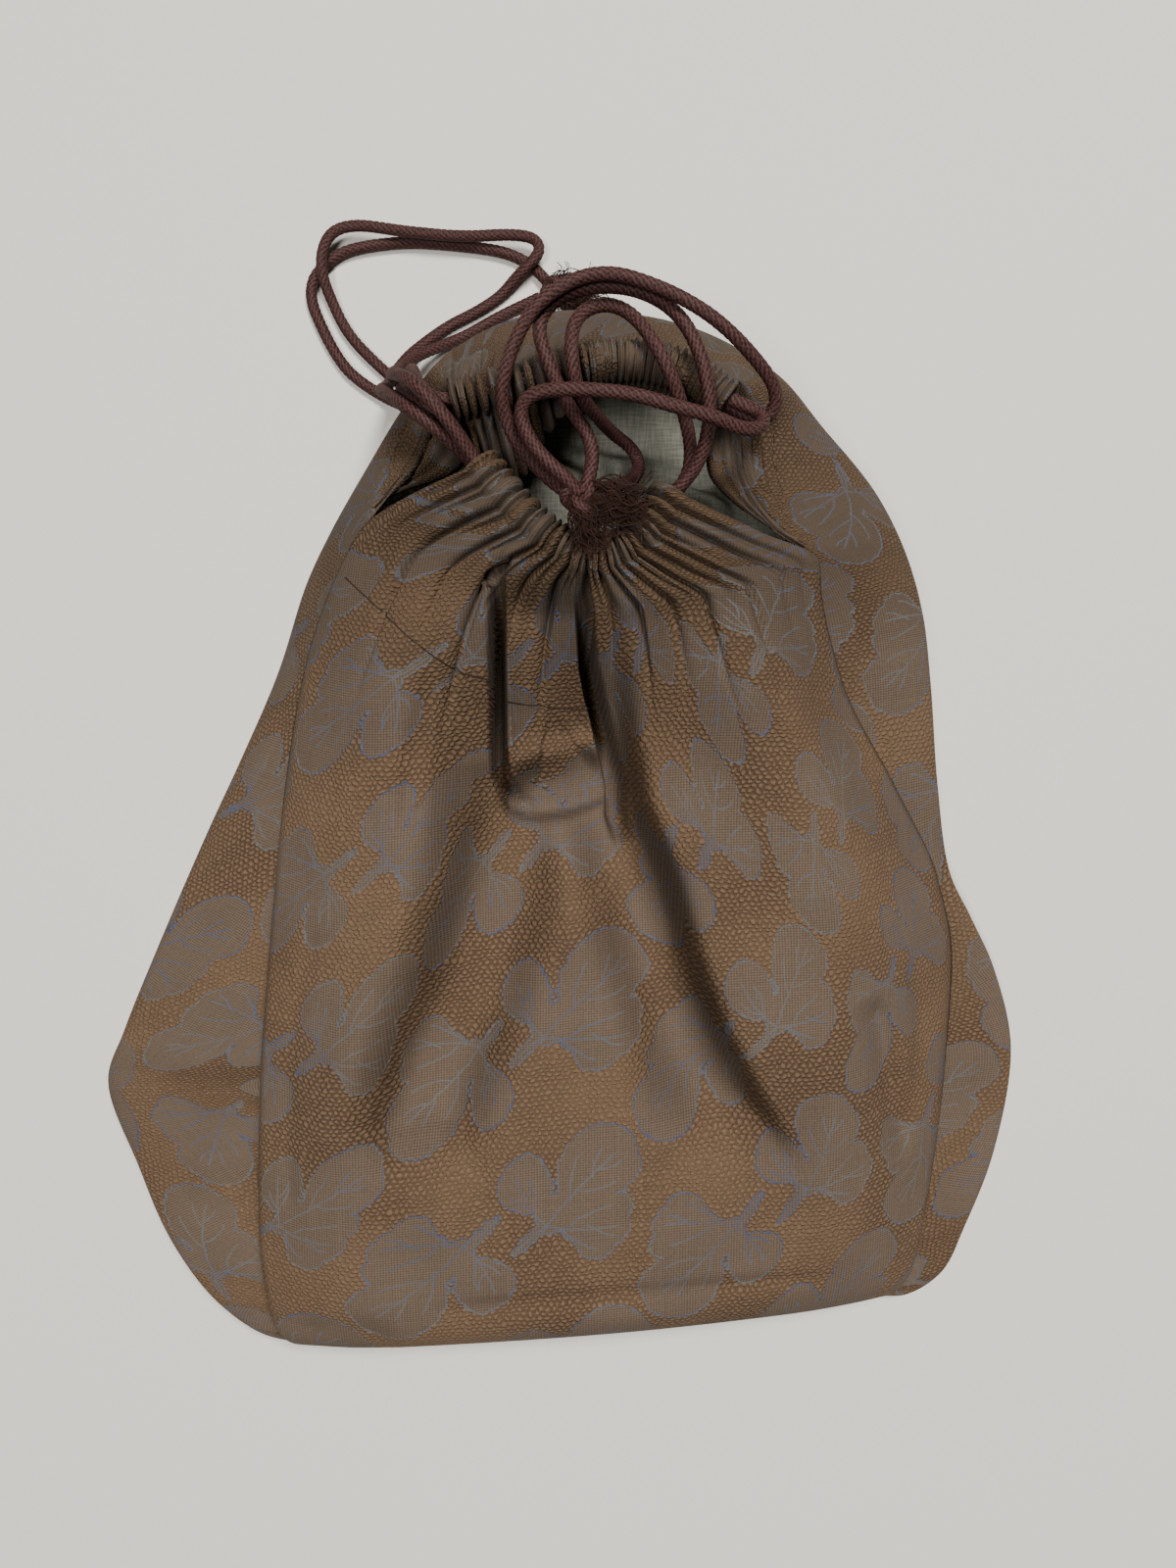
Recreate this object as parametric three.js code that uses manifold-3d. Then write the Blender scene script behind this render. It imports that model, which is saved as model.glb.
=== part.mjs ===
// A drawstring shoulder bag of leaf-patterned cloth, lying on its back with its mouth gathered and open.
// Millimetres, +Z up. The origin is on the face that the bag rests on; +Y points from base to mouth.
import * as THREE from "three";
import { mergeVertices } from "three/addons/utils/BufferGeometryUtils.js";
import Module from "manifold-3d";

// Cloth and cord
const CLOTH = 1.6;
const LINING = 1.0;
const LINING_GAP = 0.5;
const SEAM_GAP = 0.7;
const BOTTOM_GAP = 0.9;
const CORD = 5;
const CORD_SIDES = 8;
const CORD_STEP = 13;

// Channel of the drawcords: the turned-in rim is a ruched tunnel, taller than it is deep
const CHANNEL_RADIUS = 8.6;
const CHANNEL_RUCHE = 2.5;
const CHANNEL_HEIGHT_RATIO = 1.45;
const FRONT_TURNS = [50, 85, 120, 165, 215];
const BACK_TURNS = [30, 70, 110, 160, 210];
const CORD_STACK = 2.7;

// The front panel, from its bottom seam (v 0) to its rim (v 1), across from its left seam to its right.
// Left, middle and right are points of a section; the ridges are its two heights at RIDGE_AT,
// and a crest is how far the cloth stands above the seam that it drops into.
const RIDGE_AT = 0.6;
const CREST_AT = 0.94;
const FRONT_SECTIONS = [
  { v: 0.0, left: [-118, -230.5, 10], middle: [0, -217, 10], right: [114, -208, 10],
    ridges: [10, 10], crests: [0, 0] },
  { v: 0.04, left: [-124, -229, 13], middle: [0, -221, 26], right: [126, -208.5, 12],
    ridges: [25, 24], crests: [6, 6] },
  { v: 0.09, left: [-130, -218, 17], middle: [0, -209, 41], right: [135, -199, 14],
    ridges: [41, 37], crests: [14, 12] },
  { v: 0.2, left: [-135, -179, 20], middle: [0, -165, 46], right: [141, -173, 14],
    ridges: [50, 48], crests: [18, 16] },
  { v: 0.34, left: [-133, -120, 24], middle: [0, -111, 47], right: [148, -124, 14],
    ridges: [56, 57], crests: [20, 16] },
  { v: 0.48, left: [-128, -66, 30], middle: [0, -60, 48], right: [151, -74, 16],
    ridges: [63, 66], crests: [17, 13] },
  { v: 0.6, left: [-121, -15, 40], middle: [-1, -15, 51], right: [142, -38, 26],
    ridges: [71, 74], crests: [12, 8] },
  { v: 0.7, left: [-114, 19, 50], middle: [0, 20, 58], right: [120, 0, 42],
    ridges: [78, 80], crests: [8, 5] },
  { v: 0.78, left: [-105, 49, 60], middle: [1, 41, 70], right: [97, 37, 56],
    ridges: [83, 85], crests: [6, 4] },
  { v: 0.86, left: [-88, 83, 73], middle: [1, 57, 82], right: [86, 70, 67],
    ridges: [88, 88], crests: [4, 4] },
  { v: 0.885, left: [-79, 94, 78], middle: [1, 61, 86], right: [84, 81, 73],
    ridges: [91, 90], crests: [3, 3] },
  { v: 0.93, left: [-63, 100, 90], middle: [0, 67, 92], right: [61, 88, 88],
    ridges: [96, 95], crests: [2, 2] },
  { v: 1.0, left: [-42, 106, 103], middle: [0, 73, 98], right: [34, 97, 102],
    ridges: [100, 99], crests: [0, 0] },
];

// Main folds of the front panel, seen from above: a soft trough along a path, steeper on its ridge side.
// A depth below zero is the crest of a ridge, which drops to the trough beside it.
const FRONT_FOLDS = [
  { depth: 21, width: 19, steep: 17, steepSide: -1,
    path: [
      [-33, 60], [-35, 9], [-33, -14], [-37, -42], [-46, -75], [-58, -104], [-68, -132], [-70, -158],
    ] },
  { depth: 21, width: 19, steep: 11, steepSide: 1,
    path: [[5, 62], [8, 20], [13, -12], [25, -40], [32, -66], [44, -99], [58, -124], [80, -156]] },
  { depth: -6, width: 18, steep: 9, steepSide: 1,
    path: [[-44, 30], [-48, -9], [-57, -40], [-68, -78], [-80, -104], [-86, -132], [-84, -156]] },
  { depth: -6, width: 20, steep: 10, steepSide: -1,
    path: [[14, 24], [23, -4], [31, -22], [36, -40], [41, -58], [50, -84], [62, -108], [84, -140]] },
  { depth: 11, width: 14, steep: 9, steepSide: -1, path: [[-36, 0], [-24, -8], [-8, -6], [8, 0], [15, 8]] },
  { depth: 6, width: 8, steep: 6, steepSide: 1, path: [[107, -78], [112, -95], [118, -118], [126, -152]] },
  { depth: 3, width: 7, steep: 7, steepSide: 1, path: [[-118, -217], [-96, -215], [-74, -216]] },
];

// Gathers: pleats pressed in at the rim that run out down the cloth. At is the place along the rim,
// width half a pleat's width and depth how far it is pressed in, both at the rim, reach how far it runs.
const FRONT_PLEATS = [
  { at: -0.93, width: 0.035, depth: 4, reach: 0.16 },
  { at: -0.78, width: 0.04, depth: 6, reach: 0.3 },
  { at: -0.62, width: 0.035, depth: 5, reach: 0.2 },
  { at: -0.46, width: 0.045, depth: 7, reach: 0.34 },
  { at: -0.31, width: 0.03, depth: 5, reach: 0.18 },
  { at: -0.18, width: 0.04, depth: 6, reach: 0.3 },
  { at: -0.05, width: 0.03, depth: 5, reach: 0.2 },
  { at: 0.08, width: 0.04, depth: 7, reach: 0.3 },
  { at: 0.27, width: 0.035, depth: 6, reach: 0.24 },
  { at: 0.42, width: 0.04, depth: 6, reach: 0.3 },
  { at: 0.6, width: 0.035, depth: 5, reach: 0.2 },
  { at: 0.78, width: 0.045, depth: 6, reach: 0.26 },
  { at: 0.93, width: 0.03, depth: 3, reach: 0.14 },
];
const BACK_PLEATS = [
  { at: 0.06, width: 0.022, depth: 3.5, reach: 0.5 },
  { at: 0.135, width: 0.02, depth: 4.5, reach: 0.4 },
  { at: 0.21, width: 0.022, depth: 4, reach: 0.55 },
  { at: 0.285, width: 0.02, depth: 5, reach: 0.4 },
  { at: 0.36, width: 0.022, depth: 4.5, reach: 0.6 },
  { at: 0.435, width: 0.02, depth: 4, reach: 0.4 },
  { at: 0.51, width: 0.024, depth: 5, reach: 0.5 },
  { at: 0.6, width: 0.02, depth: 3.5, reach: 0.3 },
  { at: 0.7, width: 0.026, depth: 5, reach: 0.6 },
  { at: 0.785, width: 0.022, depth: 5, reach: 0.5 },
  { at: 0.865, width: 0.024, depth: 5, reach: 0.7 },
  { at: 0.94, width: 0.02, depth: 4, reach: 0.5 },
];

// The centre line of the back channel from its right end to its left end, and the back edges of the
// two slits from the seam up to the channel
const BACK_RIM = [
  [47, 131, 98], [34, 140, 98], [17, 144, 99], [0, 143, 98], [-18, 138, 98], [-33, 134, 98], [-46, 131, 97],
];
const RIGHT_SLIT = [[84.5, 83, 71], [72, 95, 76], [62, 110, 81], [58, 126.5, 84]];
const LEFT_SLIT = [[-79.5, 96, 76.5], [-70, 107, 79], [-61.5, 117, 82], [-56, 130.5, 84]];

// The back panel's outline seen from above, counterclockwise from the middle of the base: its widest
// points, their height, and which edge the cloth then turns in to: bottom seam, side seam, slit or rim
const OUTLINE = [
  { x: 0, y: -220, z: 6, to: "bottom", at: 0 },
  { x: 60, y: -216, z: 6, to: "bottom", at: 0.5 },
  { x: 119, y: -214, z: 7, to: "bottom", at: 1 },
  { x: 133, y: -212.5, z: 9, to: "right", at: 0.025 },
  { x: 147, y: -202, z: 11, to: "right", at: 0.06 },
  { x: 156, y: -183, z: 12, to: "right", at: 0.13 },
  { x: 168, y: -152, z: 12, to: "right", at: 0.25 },
  { x: 175.5, y: -109, z: 11, to: "right", at: 0.37 },
  { x: 168, y: -76, z: 12, to: "right", at: 0.46 },
  { x: 158, y: -55, z: 14, to: "right", at: 0.53 },
  { x: 148, y: -36, z: 18, to: "right", at: 0.6 },
  { x: 140, y: 0, z: 28, to: "right", at: 0.7 },
  { x: 135, y: 38, z: 36, to: "right", at: 0.78 },
  { x: 130, y: 66, z: 42, to: "right", at: 0.85 },
  { x: 122, y: 90, z: 45, to: "rightSlit", at: 0.04 },
  { x: 110, y: 112, z: 47, to: "rightSlit", at: 0.35 },
  { x: 89, y: 136, z: 49, to: "rightSlit", at: 0.75 },
  { x: 71, y: 155, z: 50, to: "rim", at: 0 },
  { x: 49, y: 168, z: 52, to: "rim", at: 0.2 },
  { x: 27, y: 174.5, z: 54, to: "rim", at: 0.4 },
  { x: 0, y: 178, z: 54, to: "rim", at: 0.6 },
  { x: -26, y: 176, z: 52, to: "rim", at: 0.8 },
  { x: -50, y: 164, z: 52, to: "rim", at: 1 },
  { x: -70, y: 142, z: 50, to: "leftSlit", at: 0.75 },
  { x: -86, y: 120, z: 42, to: "leftSlit", at: 0.35 },
  { x: -99, y: 100, z: 36, to: "leftSlit", at: 0.04 },
  { x: -111, y: 79, z: 30, to: "left", at: 0.85 },
  { x: -124, y: 45, z: 24, to: "left", at: 0.78 },
  { x: -140, y: 12, z: 20, to: "left", at: 0.7 },
  { x: -156, y: -20, z: 17, to: "left", at: 0.6 },
  { x: -176, y: -64, z: 14, to: "left", at: 0.48 },
  { x: -192, y: -102, z: 12, to: "left", at: 0.385 },
  { x: -199, y: -123, z: 11, to: "left", at: 0.33 },
  { x: -186, y: -158, z: 12, to: "left", at: 0.25 },
  { x: -173, y: -187, z: 13, to: "left", at: 0.17 },
  { x: -156, y: -211, z: 13, to: "left", at: 0.1 },
  { x: -139, y: -226, z: 11, to: "left", at: 0.05 },
  { x: -129, y: -231, z: 9, to: "left", at: 0.02 },
  { x: -119, y: -233, z: 7, to: "bottom", at: -1 },
  { x: -60, y: -227, z: 6, to: "bottom", at: -0.5 },
];
const RIM_FIRST = OUTLINE.findIndex((row) => row.to === "rim");
const RIM_LAST = OUTLINE.findLastIndex((row) => row.to === "rim");

// Cord routes outside the channels
const FIRST_CORD_TO_BACK = [
  [-6.4, 101.2, 107.6], [-11.5, 105.5, 108.4], [-17.5, 111.5, 109.2], [-21.5, 118.5, 110.8],
  [-22.5, 124, 113], [-19, 127, 115.4], [-11, 128, 117.8], [2, 127.5, 118.8], [15, 126, 118.8],
  [29, 122.5, 117.4], [42, 120, 114.4], [51, 117.5, 110], [58.5, 119.5, 105.4], [59.5, 125, 102.4],
  [54.5, 127.5, 101],
];
const FIRST_CORD_LOOP = [
  [-51.5, 130, 100.2], [-56.5, 134.5, 100.2], [-61, 143, 89], [-64, 151, 70], [-66, 155, 51],
  [-68.5, 159, 30], [-73, 163, 12], [-80, 169, 4.2], [-90, 178, 3], [-101, 190, 3], [-108.5, 205, 4],
  [-111, 213, 8.4], [-111, 221, 9.2], [-107, 230, 8.8], [-98, 233, 8.5], [-76, 230.5, 8.5],
  [-52.5, 228.5, 8.5], [-30, 229, 8.6], [-21, 227, 8.8], [-19.5, 222, 9.2], [-24, 217, 9],
  [-30, 212.5, 6], [-36, 206.5, 3], [-48, 198.5, 3], [-58, 193.5, 3], [-67.5, 186.5, 4],
  [-75, 178.5, 8], [-79.5, 170.5, 12.5], [-81, 162, 22], [-80, 153.5, 42], [-76.5, 146, 62],
  [-70, 137.5, 84], [-61, 127.5, 99.5], [-52, 121, 100.5], [-44.5, 115, 95],
];
const FIRST_CORD_TO_KNOT = [
  [34, 105.5, 92], [35.5, 112, 94.5], [34.5, 118.5, 98.5], [32, 125, 104.5], [29, 131.5, 110.5],
  [25.5, 138, 113.6], [21.5, 145, 113.8], [17, 152, 112.4], [11.5, 157.5, 110], [5.5, 159.5, 109],
  [0, 157.5, 110], [-4, 153, 112.4], [-5.5, 147, 113.8], [-5.2, 140, 114.2], [-4.4, 133.8, 112],
  [-2.5, 130, 106.5], [0.5, 128.2, 98.5], [4.8, 126.8, 87.5], [10, 125.5, 75], [15.5, 123.5, 68.5],
  [19, 119, 66], [18, 113, 70.5], [14, 107.5, 80], [9, 103.5, 91], [4.5, 100.2, 99],
];
const SECOND_CORD_ARC = [
  [53.5, 126.5, 95], [59, 124, 95], [64, 127.5, 97.5], [63, 134, 102.5], [56, 140.5, 109],
  [48, 146.5, 114.6], [39, 152.5, 118], [28, 158, 120], [17.5, 162, 120.6], [8, 164.5, 120.6],
  [-2, 163.5, 120.4], [-9.5, 160, 120], [-16, 155.5, 119], [-21, 149.5, 117.4], [-24.5, 143, 115.6],
  [-27, 136, 114.2], [-28.5, 129, 110.5], [-27.5, 122, 105], [-23, 114, 101.5], [-16.5, 106.5, 100.2],
  [-10, 100.6, 101],
];
const SECOND_CORD_LOOP = [
  [-52, 128.4, 94.4], [-58.5, 131, 93.5], [-65, 138, 83], [-68.5, 146, 66], [-69.5, 150.5, 50],
  [-71.5, 153.5, 30], [-76, 157, 12], [-84, 162, 4], [-101, 174, 3], [-112, 192, 3], [-117, 206, 3],
  [-116, 213, 3], [-112, 218, 3], [-104, 224, 3], [-92, 227, 3], [-76.5, 228.5, 3], [-53, 227, 3],
  [-33, 223.5, 3], [-23, 218, 3], [-17.6, 211.9, 4],
];
const SECOND_CORD_FRONT_ARC = [
  [0.5, 102.8, 105.6], [1.5, 109, 103.4], [1, 116, 102], [-4, 123, 104.8], [-8.4, 129, 108.6],
  [-11.6, 135, 112.2], [-14, 141, 113.6], [-16, 147, 113.8], [-16, 152.5, 113.4], [-12.5, 157.5, 113.6],
  [-6.5, 161, 114.2], [0.5, 162.6, 114.6], [8.5, 162.8, 114.8], [16.5, 161.4, 114.8], [24, 158, 114.7],
  [30.5, 152.5, 114.6], [35, 145, 114.4], [38, 137, 113.8], [39.8, 129, 111.8], [40.5, 121, 107.8],
  [39, 113, 102.6], [35.5, 106, 98.5],
];
const SECOND_CORD_TO_LEFT_KNOT = [
  [-43, 117, 101.5], [-50, 125.5, 106.5], [-58, 134, 106], [-66.5, 142.5, 90], [-72.5, 151.5, 63],
  [-75.5, 159.5, 43], [-75, 168, 25], [-71, 175.5, 15.5], [-63.5, 181.5, 9], [-55, 187, 4],
  [-47, 191.5, 3], [-38.5, 196.5, 3], [-28, 201.5, 3.2], [-20.1, 204.7, 4.6],
];

// Knots and their frayed ends: the way a brush points, its half spread, how flat it lies and its strands
const KNOT_RADIUS = 5.2;
const KNOT_RIDGE = 0.5;
const KNOT_TURNS = 3;
const STRAND = 1.1;
const RIGHT_TASSEL = {
  knot: [-2.6, 96.4, 104], axis: [0.88, -0.47, 0.17], spread: 0.7, length: 29, lift: 0.2, strands: 42,
};
const LEFT_TASSEL = {
  knot: [-14.5, 206.5, 6], axis: [0.95, 0.3, -0.02], spread: 0.5, length: 29, lift: 0.2, strands: 28,
};

// Shared shape functions
const UP = new THREE.Vector3(0, 0, 1);
const FOLD_TAPER = 0.22;
const EDGE_STILL = 0.12;

function clamp(share) {
  return Math.min(1, Math.max(0, share));
}

function ease(share) {
  const held = clamp(share);
  return held * held * (3 - 2 * held);
}

// Slope of a smooth line through values, flat where it turns so that it doesn't overshoot
function slopeAt(knots, values, i) {
  const step = (j) => (values[j + 1] - values[j]) / (knots[j + 1] - knots[j]);
  if (i === 0) return step(0);
  if (i === knots.length - 1) return step(i - 1);
  const before = step(i - 1);
  const after = step(i);
  return before * after <= 0 ? 0 : (2 * before * after) / (before + after);
}

function smooth(knots, values, place) {
  const last = knots.length - 1;
  const held = Math.min(knots[last], Math.max(knots[0], place));
  let i = 0;
  while (i < last - 1 && held > knots[i + 1]) i++;
  const span = knots[i + 1] - knots[i];
  const t = (held - knots[i]) / span;
  const start = slopeAt(knots, values, i) * span;
  const end = slopeAt(knots, values, i + 1) * span;
  const rise = values[i + 1] - values[i];
  return values[i] + t * (start + t * (3 * rise - 2 * start - end + t * (start + end - 2 * rise)));
}

// Place of a point beside a path: its distance, the share of the path passed and the side it is on
function besidePath(path, x, y) {
  let near = { distance: Infinity, share: 0, side: 1 };
  for (let i = 0; i < path.length - 1; i++) {
    const [ax, ay] = path[i];
    const [dx, dy] = [path[i + 1][0] - ax, path[i + 1][1] - ay];
    const t = clamp(((x - ax) * dx + (y - ay) * dy) / (dx * dx + dy * dy));
    const distance = Math.hypot(x - ax - t * dx, y - ay - t * dy);
    const side = Math.sign(dx * (y - ay) - dy * (x - ax)) || 1;
    if (distance < near.distance) near = { distance, share: (i + t) / (path.length - 1), side };
  }
  return near;
}

function foldDepth(x, y) {
  let depth = 0;
  for (const fold of FRONT_FOLDS) {
    const near = besidePath(fold.path, x, y);
    const width = near.side === fold.steepSide ? fold.steep : fold.width;
    const taper = ease(near.share / FOLD_TAPER) * ease((1 - near.share) / FOLD_TAPER);
    depth += fold.depth * taper * Math.exp(-((near.distance / width) ** 2));
  }
  return depth;
}

// How far the gathers press the cloth in at a place along a rim, some way down from it
const PLEAT_DEEPENS = 0.05;
function pleatDepth(pleats, at, away) {
  let deepest = 0;
  for (const pleat of pleats) {
    const fade = 1 - ease(away / pleat.reach);
    const depth = CHANNEL_RUCHE + (pleat.depth - CHANNEL_RUCHE) * ease(away / PLEAT_DEEPENS);
    deepest = Math.max(deepest, depth * fade * (1 - ease(Math.abs(at - pleat.at) / pleat.width)));
  }
  return deepest;
}

// Sheets of cloth: rows of points joined row to row, then given a thickness
function newSheet() {
  return { points: [], shifts: [], triangles: [] };
}

function addRow(sheet, places, pointAt, shiftAt = () => new THREE.Vector3()) {
  return places.map((at) => {
    sheet.points.push(pointAt(at));
    sheet.shifts.push((normal) => shiftAt(at, normal));
    return { at, index: sheet.points.length - 1 };
  });
}

// Two rows are joined place by place, each four-sided patch along its shorter diagonal
const SAME_PLACE = 1e-9;
function joinRows(sheet, lower, upper) {
  const apart = (a, b) => sheet.points[a.index].distanceTo(sheet.points[b.index]);
  let i = 0;
  let j = 0;
  while (i < lower.length - 1 || j < upper.length - 1) {
    const [nextLower, nextUpper] = [lower[i + 1], upper[j + 1]];
    let stepLower = !nextUpper || (nextLower && nextLower.at < nextUpper.at);
    if (nextLower && nextUpper && Math.abs(nextLower.at - nextUpper.at) < SAME_PLACE) {
      stepLower = apart(nextLower, upper[j]) < apart(lower[i], nextUpper);
    }
    if (stepLower) {
      sheet.triangles.push([lower[i].index, nextLower.index, upper[j].index]);
      i++;
    } else {
      sheet.triangles.push([lower[i].index, nextUpper.index, upper[j].index]);
      j++;
    }
  }
}

function sheetNormals(sheet) {
  const normals = sheet.points.map(() => new THREE.Vector3());
  for (const [a, b, c] of sheet.triangles) {
    const edge = sheet.points[b].clone().sub(sheet.points[a]);
    const face = edge.cross(sheet.points[c].clone().sub(sheet.points[a]));
    for (const i of [a, b, c]) normals[i].add(face);
  }
  return normals.map((normal) => normal.normalize());
}

function thickened(sheet, thickness) {
  const normals = sheetNormals(sheet);
  const outer = sheet.points.map((point, i) => point.clone().add(sheet.shifts[i](normals[i])));
  const inner = outer.map((point, i) => point.clone().addScaledVector(normals[i], -thickness));
  const count = outer.length;
  const faces = [];
  const edges = new Set();
  for (const [a, b, c] of sheet.triangles) {
    faces.push(a, b, c, a + count, c + count, b + count);
    for (const [from, to] of [[a, b], [b, c], [c, a]]) edges.add(`${from},${to}`);
  }
  for (const edge of edges) {
    const [from, to] = edge.split(",").map(Number);
    if (!edges.has(`${to},${from}`)) faces.push(to, from, from + count, to, from + count, to + count);
  }
  const positions = [...outer, ...inner].flatMap((point) => point.toArray());
  return new THREE.BufferGeometry()
    .setAttribute("position", new THREE.Float32BufferAttribute(positions, 3))
    .setIndex(faces);
}

// Evenly spaced places, and the places that a rim's pleats need: each pleat's floor and its two lips
function evenPlaces(from, to, count) {
  return Array.from({ length: count + 1 }, (_, i) => from + ((to - from) * i) / count);
}

function pleatPlaces(pleats, from, to) {
  return [from, ...pleats.flatMap(({ at, width }) => [at - width, at, at + width]), to];
}

// Front panel
const SECTION_PLACES = FRONT_SECTIONS.map((row) => row.v);
const ACROSS = [-1, -CREST_AT, -RIDGE_AT, 0, RIDGE_AT, CREST_AT, 1];
const FRONT_LOWER = [0, 0.02, 0.04, 0.065, 0.09, ...evenPlaces(0.12, 0.745, 23)];
const FRONT_UPPER = [0.78, 0.82, 0.86, 0.9, 0.93, 0.96, 0.985, 1];
const FRONT_COLUMNS = 42;
const SEAM_COLUMN = 0.985;
const FRONT_TURN_FROM = 0.9;

function sectionValue(read, v) {
  return smooth(SECTION_PLACES, FRONT_SECTIONS.map(read), v);
}

function sectionPoint(name, v) {
  return [0, 1, 2].map((axis) => sectionValue((row) => row[name][axis], v));
}

function frontSurface(u, v) {
  const left = sectionPoint("left", v);
  const middle = sectionPoint("middle", v);
  const right = sectionPoint("right", v);
  const across = (axis) => {
    const lean = (right[axis] - left[axis]) / 2;
    const bow = (right[axis] + left[axis]) / 2 - middle[axis];
    return middle[axis] + lean * u + bow * u * u;
  };
  const [leftRidge, rightRidge] = [0, 1].map((side) => sectionValue((row) => row.ridges[side], v));
  const [leftCrest, rightCrest] = [0, 1].map((side) => sectionValue((row) => row.crests[side], v));
  const [leftTop, rightTop] = [left[2] + leftCrest, right[2] + rightCrest];
  const heights = [left[2], leftTop, leftRidge, middle[2], rightRidge, rightTop, right[2]];
  const [x, y] = [across(0), across(1)];
  const fold = foldDepth(x, y) * ease((1 - Math.abs(u)) / EDGE_STILL);
  return new THREE.Vector3(x, y, smooth(ACROSS, heights, u) - fold);
}

// A channel: its centre line, the way out of the mouth, and its wall at an angle round the cords
function outwardOf(line, at, least, most) {
  const step = 0.01;
  const along = line(Math.min(most, at + step)).sub(line(Math.max(least, at - step)));
  return new THREE.Vector3(along.y, -along.x, 0).normalize();
}

function channelWall(outward, radius, degrees) {
  const angle = THREE.MathUtils.degToRad(degrees);
  return outward
    .clone()
    .multiplyScalar(radius * Math.cos(angle))
    .addScaledVector(UP, radius * CHANNEL_HEIGHT_RATIO * Math.sin(angle));
}

function frontRim(u) {
  return frontSurface(u, 1);
}

function frontOutward(u) {
  return outwardOf(frontRim, u, -1, 1);
}

function frontChannel(u) {
  return frontRim(u).sub(channelWall(frontOutward(u), CHANNEL_RADIUS, FRONT_TURNS[0]));
}

function makeFrontPanel() {
  const sheet = newSheet();
  const pleated = pleatPlaces(FRONT_PLEATS, -1, 1);
  const plain = [-1, -SEAM_COLUMN, ...evenPlaces(-CREST_AT, CREST_AT, FRONT_COLUMNS), SEAM_COLUMN, 1];
  const rows = FRONT_LOWER.map((v) => addRow(sheet, plain, (u) => frontSurface(u, v)));
  for (const v of FRONT_UPPER) {
    const turn = ease((v - FRONT_TURN_FROM) / (1 - FRONT_TURN_FROM));
    const shift = (u, normal) => {
      const way = normal.clone().lerp(channelWall(frontOutward(u), 1, FRONT_TURNS[0]), turn);
      return way.multiplyScalar(-pleatDepth(FRONT_PLEATS, u, 1 - v));
    };
    rows.push(addRow(sheet, pleated, (u) => frontSurface(u, v), shift));
  }
  for (const degrees of FRONT_TURNS.slice(1)) {
    const wall = (u, radius) => channelWall(frontOutward(u), radius, degrees);
    const point = (u) => frontChannel(u).add(wall(u, CHANNEL_RADIUS));
    rows.push(addRow(sheet, pleated, point, (u) => wall(u, -pleatDepth(FRONT_PLEATS, u, 0))));
  }
  for (let i = 0; i < rows.length - 1; i++) joinRows(sheet, rows[i], rows[i + 1]);
  return thickened(sheet, CLOTH);
}

// Back panel
const FLOOR_MIDDLE = new THREE.Vector3(-10, -30, 0);
const CONTACT_INSET = 4;
const CONTACT_SHARE = 0.55;
const RISE_STEPS = [30, 60];
const TURN_STEPS = [0, 0.18, 0.36, 0.54, 0.72, 0.88, 1];
const BACK_TURN_FROM = 0.7;
const OUTLINE_EXTRA = 3;
const LEAST_CLIMB = 0.35;
const LEAN_BACK = -12;
const RIM_LEAN = 40;
const HANDLE = 0.4;

const rimLine = new THREE.CatmullRomCurve3(BACK_RIM.map((p) => new THREE.Vector3(...p)));

function backChannel(share) {
  return rimLine.getPoint(clamp(share));
}

function backOutward(share) {
  return outwardOf(backChannel, share, 0, 1);
}

function backRim(share) {
  return backChannel(share).add(channelWall(backOutward(share), CHANNEL_RADIUS, BACK_TURNS[0]));
}

function slitLine(points, rimShare) {
  return new THREE.CatmullRomCurve3([...points.map((p) => new THREE.Vector3(...p)), backRim(rimShare)]);
}

const rightSlit = slitLine(RIGHT_SLIT, 0);
const leftSlit = slitLine(LEFT_SLIT, 1);

const outlineLoop = new THREE.CatmullRomCurve3(
  OUTLINE.map((row) => new THREE.Vector3(row.x, row.y, row.z)),
  true,
);
const rimWeightLoop = new THREE.CatmullRomCurve3(
  OUTLINE.map((row) => new THREE.Vector3(row.to === "rim" ? 1 : 0, 0, 0)),
  true,
);

// Where the back panel ends: just below and outside the edge that it is sewn to
function backEnd(to, at, widest) {
  if (to === "rim") return backRim(at);
  if (to === "rightSlit") return rightSlit.getPoint(at);
  if (to === "leftSlit") return leftSlit.getPoint(at);
  if (to === "bottom") return frontSurface(at, 0).addScaledVector(UP, -BOTTOM_GAP);
  const seam = frontSurface(to === "left" ? -1 : 1, at);
  const out = new THREE.Vector3(widest.x - seam.x, widest.y - seam.y, 0).normalize();
  return seam.addScaledVector(out, SEAM_GAP).addScaledVector(UP, -SEAM_GAP);
}

function backEdge(at) {
  const place = (at % 1) * OUTLINE.length;
  const row = OUTLINE[Math.floor(place)];
  const next = OUTLINE[(Math.floor(place) + 1) % OUTLINE.length];
  const passed = place - Math.floor(place);
  const widest = outlineLoop.getPoint(at % 1);
  if (row.to === next.to) return backEnd(row.to, row.at + (next.at - row.at) * passed, widest);
  return backEnd(row.to, row.at, widest).lerp(backEnd(next.to, next.at, widest), passed);
}

const loopAt = (index) => index / OUTLINE.length;
const RIM_FROM = loopAt(RIM_FIRST);
const RIM_TO = loopAt(RIM_LAST);

function outlineOutward(at) {
  const along = outlineLoop.getTangent(at % 1);
  return new THREE.Vector3(along.y, -along.x, 0).normalize();
}

// A point of the back panel's rise from the floor to its widest place, by the angle turned
function backRise(at, degrees) {
  const angle = THREE.MathUtils.degToRad(degrees);
  const widest = outlineLoop.getPoint(at % 1);
  const inset = CONTACT_INSET + CONTACT_SHARE * widest.z;
  const point = widest.clone().addScaledVector(outlineOutward(at), -inset * (1 - Math.sin(angle)));
  point.z = widest.z * (1 - Math.cos(angle));
  return point;
}

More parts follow.
